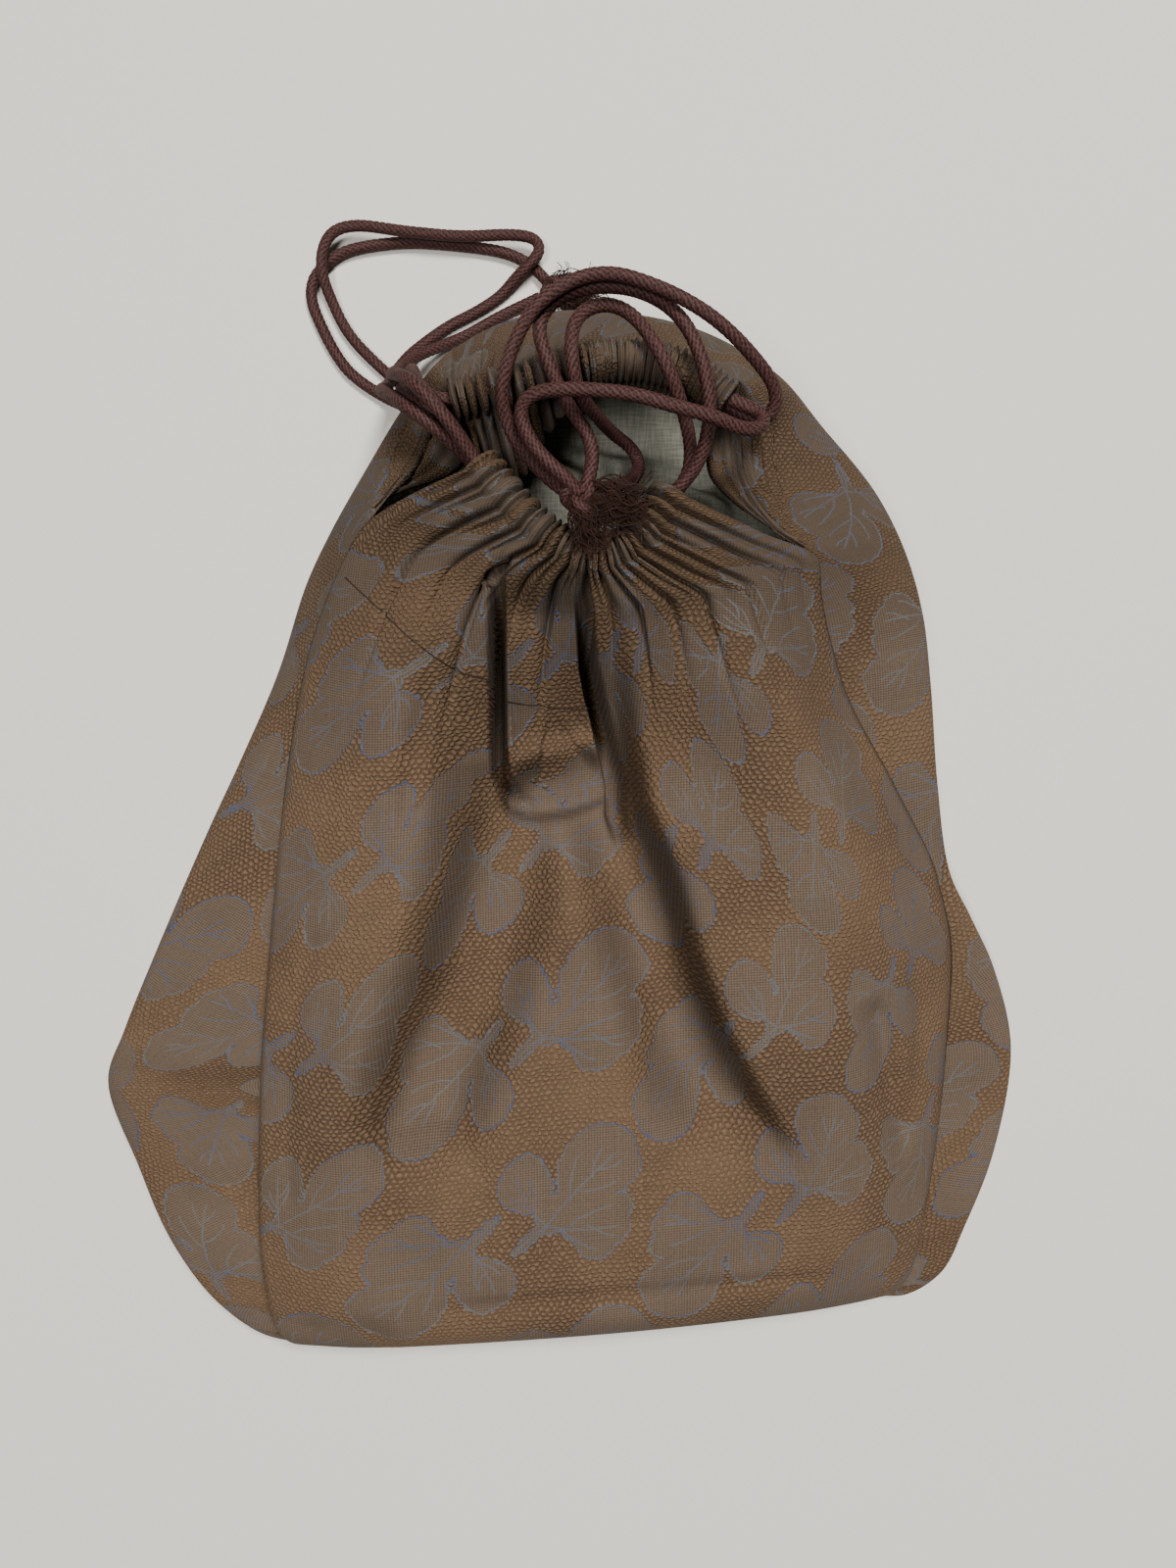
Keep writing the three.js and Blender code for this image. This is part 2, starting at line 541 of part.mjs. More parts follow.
// The place along the rim that a place on the loop stands for
function rimShare(at) {
  return (at - RIM_FROM) / (RIM_TO - RIM_FROM);
}

// A point of the back panel's way from its widest place to its edge
function backTurn(at, share) {
  const widest = outlineLoop.getPoint(at % 1);
  const edge = backEdge(at);
  const span = edge.clone().sub(widest);
  const flat = new THREE.Vector3(span.x, span.y, 0);
  const climb = Math.atan2(span.z, flat.length());
  const rimWeight = clamp(rimWeightLoop.getPoint(at % 1).x);
  const arrive = climb + THREE.MathUtils.degToRad(LEAN_BACK + RIM_LEAN * rimWeight);
  const reach = HANDLE * span.length();
  const inward = flat.normalize();
  const before = edge.clone().addScaledVector(inward, -reach * Math.cos(arrive));
  before.z -= reach * Math.sin(arrive);
  const after = widest.clone().addScaledVector(UP, reach * Math.sin(Math.max(climb, LEAST_CLIMB)));
  return new THREE.CubicBezierCurve3(widest, after, before, edge).getPoint(share);
}

function ringPlaces() {
  const rim = pleatPlaces(BACK_PLEATS, 0, 1).map((share) => RIM_FROM + share * (RIM_TO - RIM_FROM));
  const before = evenPlaces(0, RIM_FROM, RIM_FIRST + OUTLINE_EXTRA).slice(0, -1);
  const after = evenPlaces(RIM_TO, 1, OUTLINE.length - RIM_LAST + OUTLINE_EXTRA).slice(1);
  return [...before, ...rim, ...after];
}

function addFloor(sheet, ring, middle) {
  sheet.points.push(middle.clone());
  sheet.shifts.push(() => new THREE.Vector3());
  const centre = sheet.points.length - 1;
  for (let i = 0; i < ring.length - 1; i++) {
    sheet.triangles.push([centre, ring[i + 1].index, ring[i].index]);
  }
}

function makeBackPanel() {
  const sheet = newSheet();
  const places = ringPlaces().slice(0, -1);
  const addRing = (point, shift) => {
    const row = addRow(sheet, places, point, shift);
    return [...row, { at: 1, index: row[0].index }];
  };
  const rings = [addRing((at) => backRise(at, 0))];
  addFloor(sheet, rings[0], FLOOR_MIDDLE);
  for (const degrees of RISE_STEPS) rings.push(addRing((at) => backRise(at, degrees)));
  for (const share of TURN_STEPS) {
    const shift = (at, normal) => {
      if (at < RIM_FROM || at > RIM_TO) return new THREE.Vector3();
      const rimWay = channelWall(backOutward(rimShare(at)), 1, BACK_TURNS[0]);
      const way = normal.clone().lerp(rimWay, ease((share - BACK_TURN_FROM) / (1 - BACK_TURN_FROM)));
      return way.multiplyScalar(-pleatDepth(BACK_PLEATS, rimShare(at), 1 - share));
    };
    rings.push(addRing((at) => backTurn(at, share), shift));
  }
  for (let i = 0; i < rings.length - 1; i++) joinRows(sheet, rings[i], rings[i + 1]);
  let lower = rings[rings.length - 1].filter((place) => place.at >= RIM_FROM && place.at <= RIM_TO);
  const rimPlaces = lower.map((place) => place.at);
  for (const degrees of BACK_TURNS.slice(1)) {
    const wall = (at, radius) => channelWall(backOutward(rimShare(at)), radius, degrees);
    const point = (at) => backChannel(rimShare(at)).add(wall(at, CHANNEL_RADIUS));
    const pressed = (at) => wall(at, -pleatDepth(BACK_PLEATS, rimShare(at), 0));
    const upper = addRow(sheet, rimPlaces, point, pressed);
    joinRows(sheet, lower, upper);
    lower = upper;
  }
  return thickened(sheet, CLOTH);
}

// Lining: a tray on the inside of the back panel, up towards its widest place, higher where the panel is
const LINING_COLUMNS = 48;
const LINING_SHARES = [0, 0.4, 0.75, 1];
const LINING_STAND_OFF = 2;
const LINING_TURN = { low: 50, high: 84, lowAt: 14, highAt: 36 };

function makeLining() {
  const sheet = newSheet();
  const places = evenPlaces(0, 1, LINING_COLUMNS).slice(0, -1);
  const topTurn = (at) => {
    const { low, high, lowAt, highAt } = LINING_TURN;
    return low + (high - low) * ease((outlineLoop.getPoint(at).z - lowAt) / (highAt - lowAt));
  };
  const rings = LINING_SHARES.map((share) => {
    const off = CLOTH + LINING_GAP + LINING_STAND_OFF * ease(share);
    const inward = (at, normal) => normal.clone().multiplyScalar(-off);
    const row = addRow(sheet, places, (at) => backRise(at, share * topTurn(at)), inward);
    return [...row, { at: 1, index: row[0].index }];
  });
  addFloor(sheet, rings[0], FLOOR_MIDDLE);
  const middle = sheet.shifts.length - 1;
  sheet.shifts[middle] = (normal) => normal.clone().multiplyScalar(-CLOTH - LINING_GAP);
  for (let i = 0; i < rings.length - 1; i++) joinRows(sheet, rings[i], rings[i + 1]);
  return thickened(sheet, LINING);
}

// Drawcords
const CHANNEL_STATIONS = 7;

function channelRun(line, from, to, lift) {
  return evenPlaces(from, to, CHANNEL_STATIONS).map((at) => line(at).addScaledVector(UP, lift));
}

function asPoints(rows) {
  return rows.map((row) => new THREE.Vector3(...row));
}

function makeCord(points) {
  const path = new THREE.CatmullRomCurve3(points, false, "centripetal");
  const section = new THREE.Shape(
    evenPlaces(0, 2 * Math.PI, CORD_SIDES)
      .slice(0, -1)
      .map((angle) => new THREE.Vector2((CORD / 2) * Math.cos(angle), (CORD / 2) * Math.sin(angle))),
  );
  const steps = Math.round(path.getLength() / CORD_STEP);
  return new THREE.ExtrudeGeometry(section, { steps, bevelEnabled: false, extrudePath: path });
}

const firstCord = [
  ...asPoints(FIRST_CORD_TO_BACK),
  ...channelRun(backChannel, 0, 1, CORD_STACK),
  ...asPoints(FIRST_CORD_LOOP),
  ...channelRun(frontChannel, -1, 1, -CORD_STACK),
  ...asPoints(FIRST_CORD_TO_KNOT),
];
const secondCordBack = [
  ...asPoints(SECOND_CORD_LOOP).reverse(),
  ...channelRun(backChannel, 1, 0, -CORD_STACK),
  ...asPoints(SECOND_CORD_ARC),
];
const secondCordFront = [
  ...asPoints(SECOND_CORD_FRONT_ARC),
  ...channelRun(frontChannel, 1, -1, CORD_STACK),
  ...asPoints(SECOND_CORD_TO_LEFT_KNOT),
];

// Tassels: a knot with its turns raised, and a brush of loose strands rooted in it
const KNOT_SIDES = 12;
const KNOT_BANDS = 8;
const KNOT_POLE = 0.99;
const STRAND_SIDES = 3;
const STRAND_ROOT = 0.6;
const STRAND_UNEVEN = 0.22;
const WELD = 1e-4;

const wasm = await Module();
wasm.setup();

function asSolid(geometry) {
  const bare = geometry.index ? geometry.toNonIndexed() : geometry.clone();
  for (const name of Object.keys(bare.attributes)) if (name !== "position") bare.deleteAttribute(name);
  const merged = mergeVertices(bare, WELD);
  return new wasm.Manifold(
    new wasm.Mesh({
      numProp: 3,
      vertProperties: merged.attributes.position.array,
      triVerts: new Uint32Array(merged.index.array),
    }),
  );
}

function asGeometry(solid) {
  const mesh = solid.getMesh();
  return new THREE.BufferGeometry()
    .setAttribute("position", new THREE.BufferAttribute(mesh.vertProperties, 3))
    .setIndex(new THREE.BufferAttribute(mesh.triVerts, 1));
}

function makeKnot(centre) {
  const knot = new THREE.SphereGeometry(KNOT_RADIUS, KNOT_SIDES, KNOT_BANDS);
  const spots = knot.attributes.position;
  for (let i = 0; i < spots.count; i++) {
    const spot = new THREE.Vector3().fromBufferAttribute(spots, i);
    const turn = KNOT_TURNS * Math.atan2(spot.z, spot.x) + spot.y;
    const swell = Math.abs(spot.y) > KNOT_RADIUS * KNOT_POLE ? 0 : KNOT_RIDGE * Math.sin(turn);
    spot.multiplyScalar(1 + swell / KNOT_RADIUS);
    spots.setXYZ(i, spot.x, spot.y, spot.z);
  }
  return knot.translate(centre.x, centre.y, centre.z);
}

// Strands fan out by the golden angle, so that no two lie together
const GOLDEN = Math.PI * (3 - Math.sqrt(5));

function makeTassel({ knot, axis, spread, length, lift, strands }) {
  const centre = new THREE.Vector3(...knot);
  const along = new THREE.Vector3(...axis).normalize();
  const aside = along.clone().cross(UP).normalize();
  const section = new THREE.Shape(
    evenPlaces(0, 2 * Math.PI, STRAND_SIDES)
      .slice(0, -1)
      .map((angle) => new THREE.Vector2((STRAND / 2) * Math.cos(angle), (STRAND / 2) * Math.sin(angle))),
  );
  let solid = asSolid(makeKnot(centre));
  for (let i = 0; i < strands; i++) {
    const off = Math.sqrt((i + 0.5) / strands);
    const angle = i * GOLDEN;
    const sway = spread * off * Math.cos(angle);
    const rise = spread * lift * off * Math.sin(angle);
    const way = along.clone().addScaledVector(aside, sway).addScaledVector(UP, rise).normalize();
    const reach = length * (1 - STRAND_UNEVEN + STRAND_UNEVEN * Math.cos(KNOT_TURNS * angle));
    const root = centre.clone().addScaledVector(way, KNOT_RADIUS * STRAND_ROOT);
    const path = new THREE.LineCurve3(root, centre.clone().addScaledVector(way, reach));
    const strand = new THREE.ExtrudeGeometry(section, { steps: 1, bevelEnabled: false, extrudePath: path });
    solid = solid.add(asSolid(strand));
  }
  const shells = solid.decompose().sort((a, b) => b.volume() - a.volume());
  return asGeometry(shells[0]);
}

// The bag
const CLOTH_LOOK = { color: 0x6e523b, roughness: 0.9, metalness: 0 };
const LINING_LOOK = { color: 0x84847a, roughness: 0.85, metalness: 0 };
const CORD_LOOK = { color: 0x4a2a2a, roughness: 0.8, metalness: 0 };
const TASSEL_LOOK = { color: 0x2f1a14, roughness: 0.85, metalness: 0 };

const PIECES = [
  { name: "front_panel", geometry: makeFrontPanel(), look: CLOTH_LOOK },
  { name: "back_panel", geometry: makeBackPanel(), look: CLOTH_LOOK },
  { name: "lining", geometry: makeLining(), look: LINING_LOOK },
  { name: "drawcord_1", geometry: makeCord(firstCord), look: CORD_LOOK },
  { name: "drawcord_2_back", geometry: makeCord(secondCordBack), look: CORD_LOOK },
  { name: "drawcord_2_front", geometry: makeCord(secondCordFront), look: CORD_LOOK },
  { name: "tassel_right", geometry: makeTassel(RIGHT_TASSEL), look: TASSEL_LOOK },
  { name: "tassel_left", geometry: makeTassel(LEFT_TASSEL), look: TASSEL_LOOK },
];

const bag = new THREE.Group();
for (const { name, geometry, look } of PIECES) {
  const mesh = new THREE.Mesh(geometry, new THREE.MeshStandardMaterial(look));
  mesh.name = name;
  bag.add(mesh);
}

export default bag;
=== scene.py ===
import math

import bpy
import numpy as np
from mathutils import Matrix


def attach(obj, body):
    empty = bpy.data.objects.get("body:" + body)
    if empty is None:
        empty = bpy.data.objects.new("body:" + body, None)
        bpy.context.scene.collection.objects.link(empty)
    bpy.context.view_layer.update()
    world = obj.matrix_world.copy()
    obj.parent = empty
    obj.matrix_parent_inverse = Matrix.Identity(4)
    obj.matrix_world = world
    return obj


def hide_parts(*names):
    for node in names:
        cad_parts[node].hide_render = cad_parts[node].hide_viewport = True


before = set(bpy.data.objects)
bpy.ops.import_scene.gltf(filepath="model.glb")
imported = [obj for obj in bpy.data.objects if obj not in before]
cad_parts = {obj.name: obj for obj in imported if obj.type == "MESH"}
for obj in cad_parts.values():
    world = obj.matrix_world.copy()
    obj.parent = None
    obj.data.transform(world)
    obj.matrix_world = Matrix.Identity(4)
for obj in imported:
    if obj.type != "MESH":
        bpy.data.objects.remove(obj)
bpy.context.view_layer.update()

# The front panel is leaf jacquard: a blistered brown ground with flat leaves edged in blue thread.
# It is sewn in at its bottom and sides, lies in two deep folds over the slack of the bag, and its
# top is turned in as a channel and gathered on the drawcords, so that pleats run down from the rim.
MM = 0.001
CLOTH = 1.6
FRONT_CLOTH = 1.0
UP = np.array([0.0, 0.0, 1.0])
RIDGE_AT = 0.6
CREST_AT = 0.94
ACROSS = [-1, -CREST_AT, -RIDGE_AT, 0, RIDGE_AT, CREST_AT, 1]
SECTION_COLUMNS = ("v", "left", "middle", "right", "ridges", "crests")
FRONT_SECTIONS = [dict(zip(SECTION_COLUMNS, row)) for row in (
    (0.0, (-118, -230.5, 10), (0, -217, 10), (114, -208, 10), (10, 10), (0, 0)),
    (0.04, (-124, -229, 13), (0, -221, 26), (126, -208.5, 12), (25, 24), (6, 6)),
    (0.09, (-130, -218, 17), (0, -209, 41), (135, -199, 14), (41, 37), (14, 12)),
    (0.2, (-135, -179, 20), (0, -165, 46), (141, -173, 14), (50, 48), (18, 16)),
    (0.34, (-133, -120, 24), (0, -111, 47), (148, -124, 14), (56, 57), (20, 16)),
    (0.48, (-128, -66, 30), (0, -60, 48), (151, -74, 16), (63, 66), (17, 13)),
    (0.6, (-121, -15, 40), (-1, -15, 51), (142, -38, 26), (71, 74), (12, 8)),
    (0.7, (-114, 19, 50), (0, 20, 58), (120, 0, 42), (78, 80), (8, 5)),
    (0.78, (-105, 49, 60), (1, 41, 70), (97, 37, 56), (83, 85), (6, 4)),
    (0.86, (-88, 83, 73), (1, 57, 82), (86, 70, 67), (88, 88), (4, 4)),
    (0.885, (-79, 94, 78), (1, 61, 86), (84, 81, 73), (91, 90), (3, 3)),
    (0.93, (-63, 100, 90), (0, 67, 92), (61, 88, 88), (96, 95), (2, 2)),
    (1.0, (-42, 106, 103), (0, 73, 98), (34, 97, 102), (100, 99), (0, 0)),
)]
SECTION_PLACES = [row["v"] for row in FRONT_SECTIONS]

# Folds and creases of the front, seen from above: a trough along a path, steeper on one side
FOLD_COLUMNS = ("depth", "width", "steep", "steep_side", "shoulder", "path")
FRONT_FOLDS = [dict(zip(FOLD_COLUMNS, row)) for row in (
    (26, 22, 21, -1, 3, ((-33, 62), (-35, 9), (-33, -14), (-37, -42), (-46, -75), (-58, -104), (-68, -132),
                         (-70, -158))),
    (28, 22, 8, 1, 3, ((5, 62), (8, 20), (13, -12), (25, -40), (32, -66), (44, -99), (58, -124),
                       (80, -156))),
    (-8, 18, 8, 1, 2, ((-44, 30), (-48, -9), (-57, -40), (-68, -78), (-80, -104), (-86, -132), (-84, -156))),
    (-8, 20, 5, -1, 2, ((14, 24), (23, -4), (31, -22), (36, -40), (41, -58), (50, -84), (62, -108),
                        (84, -140))),
    (26, 20, 3, -1, 2, ((-36, -3), (-24, -11), (-8, -9), (8, -3), (15, 5))),
    (6, 8, 5, 1, 2, ((107, -78), (112, -95), (118, -118), (126, -152))),
    (3, 7, 7, 1, 2, ((-118, -217), (-96, -215), (-74, -216))),
    (11, 17, 17, 1, 6, ((-16, 78), (-16, 50), (-15, 28), (-12, 10))),
    (2.5, 5, 4, -1, 2, ((-54, 46), (-64, 8), (-68, -24))),
    (2, 4, 4, 1, 2, ((124, -60), (130, -90), (129, -122), (122, -150))),
    (2.2, 4, 3, 1, 2, ((-70, -205), (-30, -202), (20, -198), (70, -194), (104, -192))),
    (1.5, 4, 4, -1, 2, ((-100, -40), (-112, -90), (-116, -140), (-114, -180))),
    (2, 6, 6, 1, 2, ((60, 30), (84, -10), (96, -48))),
    (1.6, 9, 9, 1, 2, ((-20, -60), (0, -90), (-10, -130))),
    (1.4, 8, 8, 1, 2, ((20, -100), (34, -140), (30, -176))),
    (1.5, 8, 8, 1, 2, ((-52, -130), (-40, -160), (-44, -190))),
)]
# Two narrow, deep tucks beside the sunk middle of the panel, which lean a little to their left
TUCK_DEPTH = 38
FRONT_TUCKS = [dict(zip(FOLD_COLUMNS, row)) for row in (
    (TUCK_DEPTH, 3.0, 3.0, -1, 4, ((-31, 84), (-33, 44), (-34, 20), (-34, 4), (-29, -8), (-20, -10))),
    (TUCK_DEPTH, 3.6, 3.6, -1, 4, ((-3, 78), (0, 44), (4, 28), (8, 12), (11, 0), (11, -12), (15, -26))),
)]
TUCK_UNDER = 2
TUCK_NARROWING = 0.3
FOLD_TAPER = 0.22
EDGE_STILL = 0.12
LEAST_HEIGHT = 14
SINK_SHARPNESS = 4
EDGE_ROLL = 4.5
EDGE_ROLL_WIDTH = 0.03
EDGE_ROLL_IN = 0.12
EDGE_ROLL_END, EDGE_ROLL_OUT = 0.9, 0.25

# Gathers along the rim: where a pleat's floor is, how deep it is and how far down the panel it runs
PLEAT_COLUMNS = ("at", "depth", "reach")
FRONT_PLEATS = [dict(zip(PLEAT_COLUMNS, row)) for row in (
    (-0.97, 4, 0.1), (-0.9, 6, 0.16), (-0.86, 3, 0.1), (-0.76, 11, 0.3), (-0.71, 4, 0.1), (-0.6, 10, 0.24),
    (-0.56, 4, 0.1), (-0.45, 13, 0.36), (-0.41, 5, 0.12), (-0.31, 9, 0.2), (-0.27, 4, 0.1),
    (-0.17, 13, 0.34), (-0.13, 6, 0.12), (-0.1, 4, 0.1), (-0.01, 12, 0.3), (0.05, 5, 0.12),
    (0.08, 11, 0.24), (0.21, 12, 0.3), (0.25, 5, 0.1), (0.34, 11, 0.28), (0.44, 6, 0.14), (0.48, 12, 0.3),
    (0.58, 8, 0.16), (0.69, 10, 0.28), (0.73, 4, 0.1), (0.83, 8, 0.2), (0.92, 6, 0.2),
)]
RUCHE = 5.4
PLEAT_DEEPENS = 0.05
ROUND_BACK = 0.5
PLEAT_MARGIN = 0.01
CHANNEL_RADIUS = 8.6
CHANNEL_HEIGHT_RATIO = 1.45
FRONT_TURN = (50, 215)
FRONT_TURN_FROM = 0.9
FRONT_ROWS = 170
FINE_FROM, FINE_TO = -0.42, 0.24
FRONT_COLUMNS = (58, 120, 73)
CHANNEL_ROWS = 14


def ease(share):
    held = np.clip(share, 0, 1)
    return held * held * (3 - 2 * held)


def smooth(knots, values, places):
    """A line through values that doesn't overshoot them, read at places."""
    knots, values, places = (np.asarray(item, float) for item in (knots, values, places))
    aside = (1,) * (values.ndim - 1)
    gaps = np.diff(knots).reshape((-1,) + aside)
    steps = np.diff(values, axis=0) / gaps
    slopes = np.concatenate([steps[:1], np.zeros_like(steps[1:]), steps[-1:]])
    product = steps[:-1] * steps[1:]
    total = np.where(product > 0, steps[:-1] + steps[1:], 1)
    slopes[1:-1] = np.where(product > 0, 2 * product / total, 0)
    held = np.clip(places, knots[0], knots[-1])
    i = np.clip(np.searchsorted(knots, held, side="right") - 1, 0, len(knots) - 2)
    t = ((held - knots[i]) / np.diff(knots)[i]).reshape((-1,) + aside)
    start, end, rise = slopes[i] * gaps[i], slopes[i + 1] * gaps[i], values[i + 1] - values[i]
    return values[i] + t * (start + t * (3 * rise - 2 * start - end + t * (start + end - 2 * rise)))


def trough_depth(folds, x, y, narrowing=0):
    """Depth of the folds at places in plan, each narrowing by this share at the start of its path."""
    depth = np.zeros_like(x)
    for fold in folds:
        path = np.array(fold["path"], float)
        nearest = np.full_like(x, np.inf)
        share, side = np.zeros_like(x), np.ones_like(x)
        for i, ((ax, ay), (bx, by)) in enumerate(zip(path[:-1], path[1:])):
            dx, dy = bx - ax, by - ay
            t = np.clip(((x - ax) * dx + (y - ay) * dy) / (dx * dx + dy * dy), 0, 1)
            distance = np.hypot(x - ax - t * dx, y - ay - t * dy)
            closer = distance < nearest
            nearest = np.where(closer, distance, nearest)
            share = np.where(closer, (i + t) / (len(path) - 1), share)
            side = np.where(closer, np.where(dx * (y - ay) - dy * (x - ax) < 0, -1, 1), side)
        width = np.where(side == fold["steep_side"], fold["steep"], fold["width"])
        width = width * (1 - narrowing * (1 - share))
        taper = ease(share / FOLD_TAPER) * ease((1 - share) / FOLD_TAPER)
        depth += fold["depth"] * taper * np.exp(-((nearest / width) ** fold["shoulder"]))
    return depth


def section_values(name, vs):
    return smooth(SECTION_PLACES, [row[name] for row in FRONT_SECTIONS], vs)


def edge_roll(vs):
    """How far the panel's sides roll down to the seam, which shows as a dark crease beside it."""
    return EDGE_ROLL * ease(vs / EDGE_ROLL_IN) * ease((EDGE_ROLL_END - vs) / EDGE_ROLL_OUT)


def front_surface(us, vs, folds=FRONT_FOLDS, tucks=FRONT_TUCKS):
    """Points of the front panel on a grid of rows vs and columns us, before its gathers."""
    left, middle, right = (section_values(name, vs) for name in ("left", "middle", "right"))
    ridges, crests = section_values("ridges", vs), section_values("crests", vs)
    u = us[None, :, None]
    lean, bow = (right - left) / 2, (right + left) / 2 - middle
    plan = (middle[:, None] + lean[:, None] * u + bow[:, None] * u * u)[..., :2]
    heights = [left[:, 2], left[:, 2] + crests[:, 0], ridges[:, 0], middle[:, 2], ridges[:, 1],
               right[:, 2] + crests[:, 1], right[:, 2]]
    z = smooth(ACROSS, np.array(heights), us).T
    sunk = trough_depth(tucks, plan[..., 0], plan[..., 1], TUCK_NARROWING)
    depth = trough_depth(folds, plan[..., 0], plan[..., 1]) * ease((1 - np.abs(us)) / EDGE_STILL) + sunk
    room = np.maximum(z - LEAST_HEIGHT, 1)
    z = z - depth / (1 + (np.maximum(depth, 0) / room) ** SINK_SHARPNESS) ** (1 / SINK_SHARPNESS)
    plan[..., 0] -= TUCK_UNDER * np.minimum(sunk / TUCK_DEPTH, 1)
    z = z - edge_roll(vs)[:, None] * (1 - ease((1 - np.abs(us)) / EDGE_ROLL_WIDTH))
    return np.dstack([plan, z])


def gather_depth(pleats, at, away, roundness=ROUND_BACK):
    """How far gathers press the cloth in: sharp floors with round backs of cloth between them."""
    floors = np.array([at[0] - PLEAT_MARGIN] + [row["at"] for row in pleats] + [at[-1] + PLEAT_MARGIN])
    depths = np.array([0.0] + [row["depth"] for row in pleats] + [0.0])
    reaches = np.array([1.0] + [row["reach"] for row in pleats] + [1.0])
    cell = np.clip(np.searchsorted(floors, at, side="right") - 1, 0, len(floors) - 2)
    across = (at - floors[cell]) / (floors[cell + 1] - floors[cell])
    round_back = np.sin(np.pi * np.clip(across, 0, 1)) ** roundness
    deepening = ease(away[:, None] / PLEAT_DEEPENS)
    shallow = np.minimum(depths, RUCHE)
    held = (shallow + (depths - shallow) * deepening) * (1 - ease(away[:, None] / reaches))
    return (held[:, cell] * (1 - across) + held[:, cell + 1] * across) * (1 - round_back)


def unit(vectors):
    return vectors / np.maximum(np.linalg.norm(vectors, axis=-1, keepdims=True), 1e-9)


def outward_of(line):
    along = np.gradient(line, axis=0)
    return unit(np.stack([along[:, 1], -along[:, 0], np.zeros(len(line))], axis=-1))


def channel_wall(outward, degrees):
    angle = math.radians(degrees)
    return outward * math.cos(angle) + UP * CHANNEL_HEIGHT_RATIO * math.sin(angle)


def grid_normals(points):
    return unit(np.cross(np.gradient(points, axis=1), np.gradient(points, axis=0)))


def numbered(rows, columns):
    return np.arange(rows * columns).reshape(rows, columns)


def quads_between(numbers, closed=False):
    """Faces between each row of point numbers and the next; a closed row runs on to its first point."""
    rows = np.concatenate([numbers, numbers[:, :1]], axis=1) if closed else np.asarray(numbers)
    corners = [rows[:-1, :-1], rows[:-1, 1:], rows[1:, 1:], rows[1:, :-1]]
    return np.stack(corners, axis=-1).reshape(-1, 4)


front_us = np.concatenate([np.linspace(-1, FINE_FROM, FRONT_COLUMNS[0], endpoint=False),
                           np.linspace(FINE_FROM, FINE_TO, FRONT_COLUMNS[1], endpoint=False),
                           np.linspace(FINE_TO, 1, FRONT_COLUMNS[2])])
front_vs = np.linspace(0, 1, FRONT_ROWS)
front_base = front_surface(front_us, front_vs)
front_out = outward_of(front_base[-1])
front_line = front_base[-1] - CHANNEL_RADIUS * channel_wall(front_out, FRONT_TURN[0])
turning = ease((front_vs - FRONT_TURN_FROM) / (1 - FRONT_TURN_FROM))[:, None, None]
press_way = grid_normals(front_base) * (1 - turning) + channel_wall(front_out, FRONT_TURN[0])[None] * turning
pressed = front_base - press_way * gather_depth(FRONT_PLEATS, front_us, 1 - front_vs)[..., None]
rim_ruche = gather_depth(FRONT_PLEATS, front_us, np.zeros(1))[0][:, None]
front_hem = [front_line + channel_wall(front_out, turn) * (CHANNEL_RADIUS - rim_ruche)
             for turn in np.linspace(*FRONT_TURN, CHANNEL_ROWS + 1)[1:]]
front_points = np.concatenate([pressed, np.array(front_hem)])

# Places on the flat cloth, in mm. Across, four columns of leaves are followed from the base to the mouth;
# the outer two lean in to it, and what the gathers take up there is hidden in the floors of the pleats.
LEAF_REPEAT = np.array([102.0, 72.0])
FIRST_STEM = np.array([-41.0, 80.0])
GRAIN_COLUMNS = ("v", "first", "second", "third", "fourth")
GRAIN = [dict(zip(GRAIN_COLUMNS, row)) for row in (
    (0.0, -1.16, -0.27, 0.55, 1.2), (0.2, -0.985, -0.26, 0.48, 1.05), (0.4, -0.845, -0.25, 0.37, 0.87),
    (0.57, -0.677, -0.24, 0.27, 0.7), (0.66, -0.61, -0.24, 0.2, 0.61), (0.77, -0.54, -0.24, 0.14, 0.54),
    (0.83, -0.51, -0.24, 0.11, 0.51), (1.0, -0.45, -0.2, 0.08, 0.42),
)]
FAR_ASIDE = 1.6
LOOSE_WIDTH = 145.0
UPPER_SLACK = 13.0
RIGHT_LEAN = 92.0
LEAN_FROM = 0.42
LEAN_MOST = 0.55
HEM_STEP = 2.0


def running_length(points, axis):
    steps = np.linalg.norm(np.diff(points, axis=axis), axis=-1)
    pad = [(0, 0), (0, 0)]
    pad[axis] = (1, 0)
    return np.pad(np.cumsum(steps, axis=axis), pad)


def grain_across(us, vs, runs):
    """Places across the flat cloth, by how far it runs as it lies between the columns of leaves."""
    places = [row["v"] for row in GRAIN]
    followed = smooth(places, [[row[name] for name in GRAIN_COLUMNS[1:]] for row in GRAIN], vs)
    columns = FIRST_STEM[0] + LEAF_REPEAT[0] * np.array([-1, 0, 1, 2])
    loose = LOOSE_WIDTH * (FAR_ASIDE - 1)
    rows = []
    for stems, run in zip(followed, runs):
        wide = [-loose, *run, run[-1] + loose]
        knots = np.interp(stems, [-FAR_ASIDE, *us, FAR_ASIDE], wide)
        spots = [columns[0] - knots[0] + wide[0], *columns, columns[-1] + wide[-1] - knots[-1]]
        rows.append(smooth([wide[0], *knots, wide[-1]], spots, run))
    return np.array(rows)


